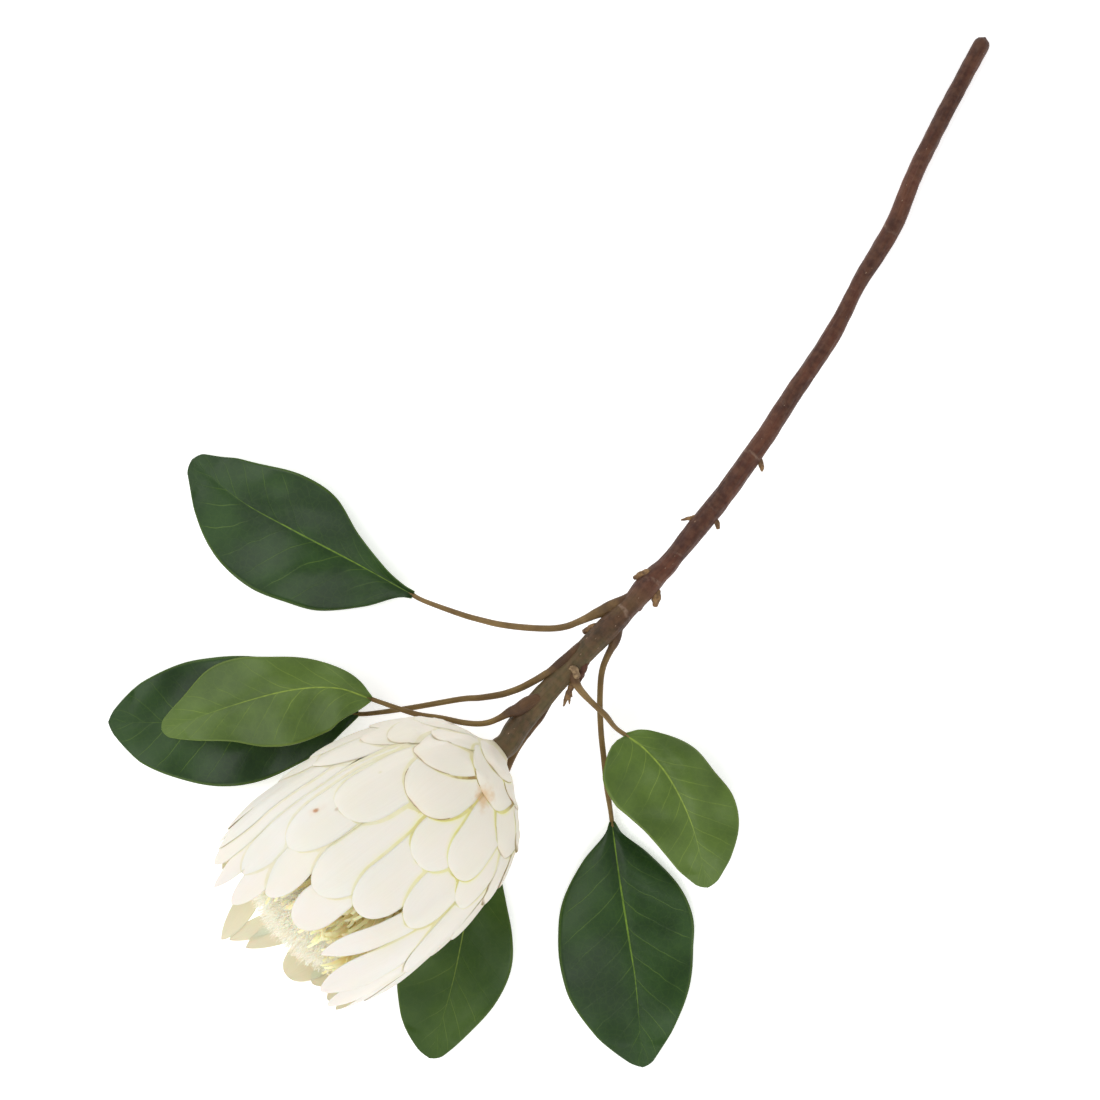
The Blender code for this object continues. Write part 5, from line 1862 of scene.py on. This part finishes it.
# %% [markdown]
# Leaves 1, 2 and 5 are the old dark ones, 3 and 4 the young ones, and 6 lies between. Each gets a
# raised midrib below, which hangs just under the groove as it does on a real blade.

# %% Make the leaves
LEAF_SKINS = {
    "1": (DARK_LEAF, "leaf_dark"), "2": (DARK_LEAF, "leaf_dark"), "5": (DARK_LEAF, "leaf_dark"),
    "3": (LIGHT_LEAF, "leaf_light"), "4": (LIGHT_LEAF, "leaf_light"),
    "6": (MIDDLE_LEAF, "leaf_light"),
}
RIB_RADII = (0.0013, 0.0004)
RIB_REACH = 0.9
RIB_SIDES = 12
RIB_GAP = 0.0002


def make_leaf(number):
    skin, slot = LEAF_SKINS[number]
    grid = leaf_grid(number)
    walls = np.full((1, LEAF_ROWS, LEAF_COLUMNS), LEAF_WALL)
    blade = walled("blade_" + number, grid[None], walls, (skin, UNDERSIDE))
    route = grid[: int(LEAF_ROWS * RIB_REACH), LEAF_COLUMNS // 2].copy()
    radii = np.linspace(*RIB_RADII, len(route))
    route[:, 2] = np.maximum(route[:, 2] - radii - RIB_GAP, radii + RIB_GAP)
    rib = tube_piece("rib_" + number, [swept(route, radii, RIB_SIDES)], UNDERSIDE)
    for piece in (blade, rib):
        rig.ride(piece, "root")
        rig.slot(piece, slot)
        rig.replaces(piece, "leaf_blade_" + number)
    return faces_of(blade) + faces_of(rib)


print("leaves:", sum(make_leaf(number) for number in BLADES), "triangles")

# %% [markdown]
# Each stalk grows out of the cane's side with a swollen foot, bends away, twists to its leaf and
# runs out into the midrib. Its route was read from the photograph point by point, with the radius
# as a fourth number beside x, y and z, so one smooth curve carries both. Young wood is tan to olive
# with fine lengthwise lines, and near the cane it takes on the colour of the bark.

# %% Routes of the stalks
# x, y, z and radius along each stalk, from inside the cane outwards
STALK_ROUTES = {
    "1": ((0.0458, 0.0077, 0.0295, 0.00260), (0.0434, 0.0012, 0.0298, 0.00330),
          (0.0407, -0.0050, 0.0296, 0.00330), (0.0384, -0.0092, 0.0290, 0.00270),
          (0.0363, -0.0137, 0.0280, 0.00210), (0.0339, -0.0186, 0.0268, 0.00175),
          (0.0308, -0.0242, 0.0250, 0.00170), (0.0253, -0.0302, 0.0234, 0.00165),
          (0.0154, -0.0379, 0.0216, 0.00165), (0.0048, -0.0448, 0.0200, 0.00160),
          (-0.0044, -0.0495, 0.0180, 0.00150), (-0.0140, -0.0538, 0.0160, 0.00145)),
    "2": ((0.0422, -0.0271, 0.0345, 0.00220), (0.0413, -0.0337, 0.0360, 0.00240),
          (0.0402, -0.0401, 0.0365, 0.00230), (0.0388, -0.0462, 0.0360, 0.00195),
          (0.0371, -0.0519, 0.0348, 0.00185), (0.0351, -0.0574, 0.0328, 0.00180),
          (0.0329, -0.0626, 0.0305, 0.00175), (0.0303, -0.0673, 0.0280, 0.00170),
          (0.0274, -0.0717, 0.0255, 0.00170), (0.0208, -0.0794, 0.0215, 0.00160),
          (0.0136, -0.0866, 0.0180, 0.00150), (-0.0029, -0.1065, 0.0120, 0.00140)),
    "3": ((0.0428, -0.0603, 0.0385, 0.00260), (0.0405, -0.0656, 0.0400, 0.00350),
          (0.0389, -0.0708, 0.0408, 0.00340), (0.0368, -0.0744, 0.0410, 0.00260),
          (0.0354, -0.0778, 0.0406, 0.00185), (0.0339, -0.0815, 0.0395, 0.00155),
          (0.0316, -0.0857, 0.0378, 0.00150), (0.0278, -0.0898, 0.0355, 0.00145),
          (0.0216, -0.0942, 0.0325, 0.00145), (0.0118, -0.0996, 0.0300, 0.00140),
          (0.0014, -0.1060, 0.0280, 0.00140)),
    "4": ((0.0447, -0.0393, 0.0355, 0.00240), (0.0488, -0.0404, 0.0365, 0.00250),
          (0.0520, -0.0422, 0.0366, 0.00230), (0.0555, -0.0436, 0.0360, 0.00180),
          (0.0607, -0.0444, 0.0349, 0.00160), (0.0671, -0.0450, 0.0336, 0.00150),
          (0.0747, -0.0455, 0.0320, 0.00150)),
    "5": ((0.0440, -0.0020, 0.0305, 0.00300), (0.0488, -0.0068, 0.0310, 0.00340),
          (0.0521, -0.0109, 0.0310, 0.00310), (0.0541, -0.0148, 0.0306, 0.00250),
          (0.0553, -0.0189, 0.0296, 0.00190), (0.0564, -0.0232, 0.0283, 0.00170),
          (0.0580, -0.0278, 0.0268, 0.00160), (0.0608, -0.0327, 0.0248, 0.00155),
          (0.0660, -0.0396, 0.0220, 0.00150), (0.0716, -0.0462, 0.0190, 0.00150),
          (0.0797, -0.0548, 0.0150, 0.00150), (0.0883, -0.0630, 0.0115, 0.00150),
          (0.0994, -0.0736, 0.0087, 0.00150)),
    "6": ((0.0477, -0.0576, 0.0348, 0.00220), (0.0498, -0.0664, 0.0336, 0.00200),
          (0.0500, -0.0724, 0.0320, 0.00185), (0.0504, -0.0795, 0.0296, 0.00175),
          (0.0514, -0.0877, 0.0260, 0.00175), (0.0536, -0.0960, 0.0210, 0.00170),
          (0.0570, -0.1048, 0.0145, 0.00160), (0.0602, -0.1111, 0.0095, 0.00150)),
}
print("points on the stalks:", {number: len(rows) for number, rows in STALK_ROUTES.items()})


# %% Stalk finishes
def stalk_finish(name, first, second, line, reach=0.036):
    look = Finish(name, 0.50, Specular_IOR_Level=0.25)
    place = look.ring_place()
    _, _, distance = parts_of(look.tree, place)
    grain = look.grain(3.2, 0.06, place)
    patches = look.mottle(90.0)
    colour = look.mix(patches, first, second)
    colour = look.mix(grain * 0.4, colour, line)
    foot = look.mix(patches, rgb(72, 50, 32), rgb(100, 72, 46))
    colour = look.mix((distance + patches * 0.008).ramp(reach, reach * 0.4), colour, foot)
    return look.finish(colour, grain + patches * 0.4, distance=0.00025)


STALK_SKIN = stalk_finish("leaf stalk", rgb(112, 88, 46), rgb(134, 110, 62), rgb(88, 62, 36))
TAN_STALK = stalk_finish("tan leaf stalk", rgb(116, 92, 52), rgb(146, 120, 76), rgb(94, 68, 40),
                         0.022)
# Stalk 6 lies in shade: this darker copy of the stalk finish is painted shade.
SHADED_STALK = stalk_finish("brown leaf stalk", rgb(98, 74, 40), rgb(126, 98, 56), rgb(80, 56, 32))
STALK_SKINS = {"1": TAN_STALK, "4": TAN_STALK, "6": SHADED_STALK}
print("stalk finishes:", [skin.name for skin in (STALK_SKIN, TAN_STALK, SHADED_STALK)])

# %% Make the stalks
STALK_SIDES = 20
STALK_RING_STEP = 0.0012
# The last two points of every stalk: run past the blade's base, and depth under the blade
STALK_END = ((-0.006, 0.0003), (0.003, 0.0018))
STALK_END_RADIUS = 0.0012
KNOB_HEIGHT = 0.00035
KNOBS_BELOW = 0.022


def stalk_line(number, rows):
    midrib = midrib_route(number)
    onwards = midrib[1] - midrib[0]
    onwards = onwards / np.linalg.norm(onwards)
    ending = [
        (*(midrib[0] + onwards * run - (0.0, 0.0, sink)), STALK_END_RADIUS)
        for run, sink in STALK_END
    ]
    return smooth_route([*(np.array(rows) - (*LAY_CENTRE, 0.0)), *ending], STALK_RING_STEP)


def make_stalk(number, rows):
    line = stalk_line(number, rows)
    verts, faces, places = swept(line[:, :3], line[:, 3], STALK_SIDES)
    knobs = ripple(places, int(number), 1.3, 130.0, KNOB_HEIGHT) * (places[:, 2] < KNOBS_BELOW)
    centre = np.repeat(line[:, :3], STALK_SIDES, axis=0)
    body = slice(CAP_RINGS * STALK_SIDES, CAP_RINGS * STALK_SIDES + len(centre))
    out = verts[body] - centre
    verts[body] += out / np.linalg.norm(out, axis=1, keepdims=True) * knobs[body, None]
    skin = STALK_SKINS.get(number, STALK_SKIN)
    stalk = tube_piece("stalk_" + number, [(verts, faces, places)], skin)
    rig.ride(stalk, "root")
    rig.slot(stalk, "stalk")
    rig.replaces(stalk, "leaf_stalk_" + number)
    return faces_of(stalk)


print("stalks:", sum(make_stalk(*item) for item in STALK_ROUTES.items()), "triangles")

# %% [markdown]
# The cane is two-year-old wood: reddish brown with pale breathing pores, turning olive near the
# flower. Pale rings go round it where leaves once sat. The finish reads the distance along the
# cane for both, and the rings wander a little, because a leaf scar is never quite straight.

# %% Bark
# Distances from the cut end of the cane at which a pale ring goes round it
RING_SCARS = (0.1093, 0.2120, 0.2440, 0.2760, 0.3060, 0.3260, 0.3470)


def bark_finish():
    look = Finish("bark", 0.52, Specular_IOR_Level=0.28)
    place = look.ring_place()
    _, _, distance = parts_of(look.tree, place)
    grain = look.grain(3.0, 0.055, place)
    patches = look.mottle(55.0)
    fine = look.mottle(300.0)
    red = look.mix(patches, rgb(66, 34, 24), rgb(94, 52, 36))
    olive = look.mix(patches, rgb(70, 60, 36), rgb(92, 80, 48))
    colour = look.mix((distance + patches * 0.02).ramp(0.336, 0.385), red, olive)
    colour = look.mix(grain * 0.4, colour, rgb(52, 38, 26))
    colour = look.mix(fine * 0.22, colour, rgb(136, 96, 70))
    wander = distance + patches * 0.0035 - 0.0018
    rings = None
    for where in RING_SCARS:
        ring = (wander - where).math("ABSOLUTE").ramp(0.0014, 0.0003)
        rings = ring if rings is None else rings + ring
    colour = look.mix(rings * fine * patches * 0.8, colour, rgb(150, 126, 108))
    height = grain * 0.7 + patches * 0.4 + fine * 0.5 + rings * 0.6
    return look.finish(colour, height, distance=0.0004, strength=0.8)


BARK = bark_finish()
print("bark:", len(RING_SCARS), "ring scars,", len(BARK.node_tree.nodes), "nodes")


# %% Scars and pores
def plain_finish(name, first, second, scale, roughness=0.75, bump=0.0003):
    look = Finish(name, roughness)
    patches = look.mottle(scale)
    return look.finish(look.mix(patches, first, second), patches, distance=bump)


SCAR_SKIN = plain_finish("torn scar", rgb(92, 66, 40), rgb(146, 112, 70), 420.0)
PALE_SCAR = plain_finish("pale scar", rgb(104, 80, 54), rgb(158, 132, 96), 520.0)
PORE_SKIN = plain_finish("pore", rgb(122, 96, 76), rgb(154, 128, 104), 300.0)
print("small finishes:", [skin.name for skin in (SCAR_SKIN, PALE_SCAR, PORE_SKIN)])

# %% [markdown]
# The cane's radius was measured along its length and is kept as a smooth table. Its cut end is
# rounded off over a few millimetres. Slow and quick ripples make the surface uneven, because no
# branch is a clean tube.

# %% Make the cane
CANE_ROUTE = (
    (0.0020, 0.3404, 0.0046), (0.0064, 0.3194, 0.0048), (0.0123, 0.2925, 0.0054),
    (0.0186, 0.2660, 0.0064), (0.0270, 0.2396, 0.0077), (0.0302, 0.2216, 0.0087),
    (0.0330, 0.2033, 0.0098), (0.0372, 0.1856, 0.0111), (0.0402, 0.1677, 0.0125),
    (0.0421, 0.1495, 0.0140), (0.0440, 0.1313, 0.0156), (0.0462, 0.1135, 0.0173),
    (0.0477, 0.0954, 0.0192), (0.0491, 0.0770, 0.0211), (0.0495, 0.0498, 0.0242),
    (0.0497, 0.0316, 0.0264), (0.0487, 0.0228, 0.0275), (0.0485, 0.0050, 0.0297),
    (0.0464, -0.0216, 0.0326), (0.0456, -0.0330, 0.0335), (0.0447, -0.0480, 0.0343),
    (0.0441, -0.0740, 0.0359),
)
# Distance from the cut end and radius
CANE_RADII = (
    (0.000, 0.0043), (0.063, 0.0043), (0.098, 0.0044), (0.110, 0.0047), (0.123, 0.0044),
    (0.143, 0.0039), (0.158, 0.0041), (0.173, 0.0045), (0.213, 0.0046), (0.243, 0.0049),
    (0.265, 0.0050), (0.278, 0.0052), (0.288, 0.0052), (0.300, 0.0050), (0.309, 0.0047),
    (0.319, 0.0053), (0.329, 0.0061), (0.336, 0.0056), (0.342, 0.0051), (0.349, 0.0055),
    (0.357, 0.0061), (0.366, 0.0058), (0.375, 0.0056), (0.398, 0.0055), (0.418, 0.0059),
    (0.428, 0.0060),
)
CANE_DOME = 0.0048
SMALLEST_END = 0.02
CANE_NECK = 0.006
CANE_SIDES = 40
CANE_RING_STEP = 0.0014
SEAT_GAP = 0.0003


def cane_line():
    axis = np.array(head_matrix().to_3x3() @ Vector((0.0, 0.0, 1.0)))
    base = np.array(HEAD_BASE)
    neck = [base - axis * CANE_NECK, base - axis * SEAT_GAP]
    return smooth_route([*(np.array(CANE_ROUTE) - LAY_CENTRE), *neck], CANE_RING_STEP)


def make_cane():
    route = cane_line()
    along = run_lengths(route)
    places = tube_places(along, CANE_SIDES)
    ridges = ripple(places, 3.0, 1.9, 34.0, 0.00022) + ripple(places, 9.0, 4.2, 80.0, 0.00012)
    slow = ripple(places, 5.0, 0.7, 40.0, 0.00030) + ripple(places, 2.0, 2.6, 190.0, 0.00022)
    end = np.sqrt(np.clip(1.0 - (1.0 - along / CANE_DOME).clip(0.0) ** 2, SMALLEST_END, 1.0))
    radii = smooth_value(CANE_RADII, along)[:, None] + (ridges + slow).reshape(-1, CANE_SIDES)
    return tube_piece("cane", [swept(route, radii * end[:, None], CANE_SIDES)], BARK)


cane = make_cane()
print("cane:", round(run_lengths(cane_line())[-1] * 1000), "mm long")

# %% [markdown]
# Torn stubs of old leaves and shoots stand on the cane. Each one is a short thick sweep with a
# rough skin, drawn from three or four points, because a torn end is all bumps and no straight
# line. A pale one marks each place where a shoot broke off cleanly.

# %% Stubs and scars
STUB_SIDES = 14
STUB_RING_STEP = 0.0005
STUB_ROUGHNESS = 0.45
# x, y, z and radius along each stub, from inside the cane outwards
TORN_STUBS = (
    ((0.0503, 0.1020, 0.0184, 0.00200), (0.0535, 0.1013, 0.0184, 0.00150),
     (0.0562, 0.0990, 0.0180, 0.00060)),
    ((0.0462, 0.0597, 0.0235, 0.00220), (0.0433, 0.0569, 0.0238, 0.00120),
     (0.0407, 0.0538, 0.0240, 0.00040)),
    ((0.0524, 0.0656, 0.0225, 0.00190), (0.0555, 0.0643, 0.0226, 0.00140),
     (0.0577, 0.0625, 0.0224, 0.00090)),
    ((0.0461, 0.0244, 0.0300, 0.00160), (0.0433, 0.0207, 0.0298, 0.00180),
     (0.0412, 0.0163, 0.0290, 0.00100)),
    ((0.0538, 0.0180, 0.0280, 0.00260), (0.0564, 0.0154, 0.0280, 0.00240),
     (0.0584, 0.0124, 0.0276, 0.00110)),
    ((0.0432, -0.0133, 0.0317, 0.00200), (0.0407, -0.0174, 0.0319, 0.00180),
     (0.0392, -0.0206, 0.0316, 0.00110)),
    ((0.0511, -0.0431, 0.0335, 0.00160), (0.0528, -0.0482, 0.0326, 0.00150),
     (0.0538, -0.0513, 0.0320, 0.00110), (0.0553, -0.0554, 0.0314, 0.00040)),
    ((0.0526, -0.0471, 0.0330, 0.00100), (0.0546, -0.0500, 0.0326, 0.00080),
     (0.0569, -0.0527, 0.0322, 0.00030)),
    ((0.0526, -0.0471, 0.0330, 0.00090), (0.0556, -0.0492, 0.0330, 0.00030)),
)
PALE_STUBS = (
    ((0.0458, -0.0383, 0.0386, 0.00150), (0.0482, -0.0381, 0.0394, 0.00190),
     (0.0509, -0.0398, 0.0388, 0.00150)),
    ((0.0401, -0.0663, 0.0416, 0.00100), (0.0406, -0.0685, 0.0418, 0.00120),
     (0.0394, -0.0694, 0.0418, 0.00080)),
)
BARK_STUBS = (
    ((0.0506, 0.0105, 0.0295, 0.00240), (0.0525, 0.0075, 0.0295, 0.00190),
     (0.0528, 0.0055, 0.0295, 0.00120)),
    ((0.0486, -0.0325, 0.0345, 0.00270), (0.0510, -0.0357, 0.0350, 0.00250),
     (0.0526, -0.0411, 0.0352, 0.00120)),
)


def make_stubs(name, stubs, skin):
    """Short thick sweeps with a rough skin."""
    parts = []
    for k, rows in enumerate(stubs):
        line = smooth_route(np.array(rows) - (*LAY_CENTRE, 0.0), STUB_RING_STEP)
        places = tube_places(np.arange(len(line)) * STUB_RING_STEP, STUB_SIDES)
        rough = ripple(places, k * 3.0, 1.6, 420.0, STUB_ROUGHNESS).reshape(-1, STUB_SIDES)
        parts.append(swept(line[:, :3], line[:, 3:] * (1.0 + rough), STUB_SIDES))
    return tube_piece(name, parts, skin)


scars = make_stubs("torn_scars", TORN_STUBS, SCAR_SKIN)
feet = make_stubs("stalk_scars", PALE_STUBS, PALE_SCAR)
bumps = make_stubs("bark_bumps", BARK_STUBS, BARK)
print("stubs:", [len(stubs) for stubs in (TORN_STUBS, PALE_STUBS, BARK_STUBS)])

# %% [markdown]
# Young bark breathes through small corky pores. A tree scatters flattened beads over the cane for
# them: one bead repeated by instancing, each with a size of its own.

# %% Pores, and the whole cane
def pore_tree():
    tree, given = new_tree("pores on bark", {
        "Density": 9000.0, "Seed": 2, "Length": 0.0010, "Width": 0.0005, "Pore skin": None,
    })
    points, normal = scattered(tree, given)
    bead = add(tree, "GeometryNodeMeshIcoSphere", {"Radius": 0.5, "Subdivisions": 2})
    size = add(tree, "FunctionNodeRandomValue", {"Min": 0.5, "Max": 1.0}, output=1,
               data_type="FLOAT")
    scale = add(tree, "ShaderNodeCombineXYZ", {
        "X": given["Width"] * size, "Y": given["Length"] * size, "Z": given["Width"] * size * 0.5,
    })
    turn = add(tree, "FunctionNodeAlignRotationToVector", {"Vector": normal}, axis="Z")
    beads = add(tree, "GeometryNodeInstanceOnPoints", {
        "Points": points, "Instance": bead, "Rotation": turn, "Scale": scale,
    })
    end_tree(tree, beads, given["Pore skin"])
    return tree


pores = grown("pores", cane.data.copy(), pore_tree(), {"Pore skin": PORE_SKIN})
for piece in (cane, scars, feet, bumps, pores):
    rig.ride(piece, "root")
    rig.slot(piece, "bark")
    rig.replaces(piece, "stem")
    print(piece.name, faces_of(piece), "triangles")

# %% [markdown]
# Last, the size of the finished flower is written beside the size of the solids, so that the two
# can be compared.

# %% Sizes
with open("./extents.json", "w") as report:
    boxes = {"solids": cad_box, "finished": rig.bounds()}
    json.dump({name: [list(map(float, corner)) for corner in box] for name, box in boxes.items()},
              report, indent=1)
print(open("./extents.json").read())
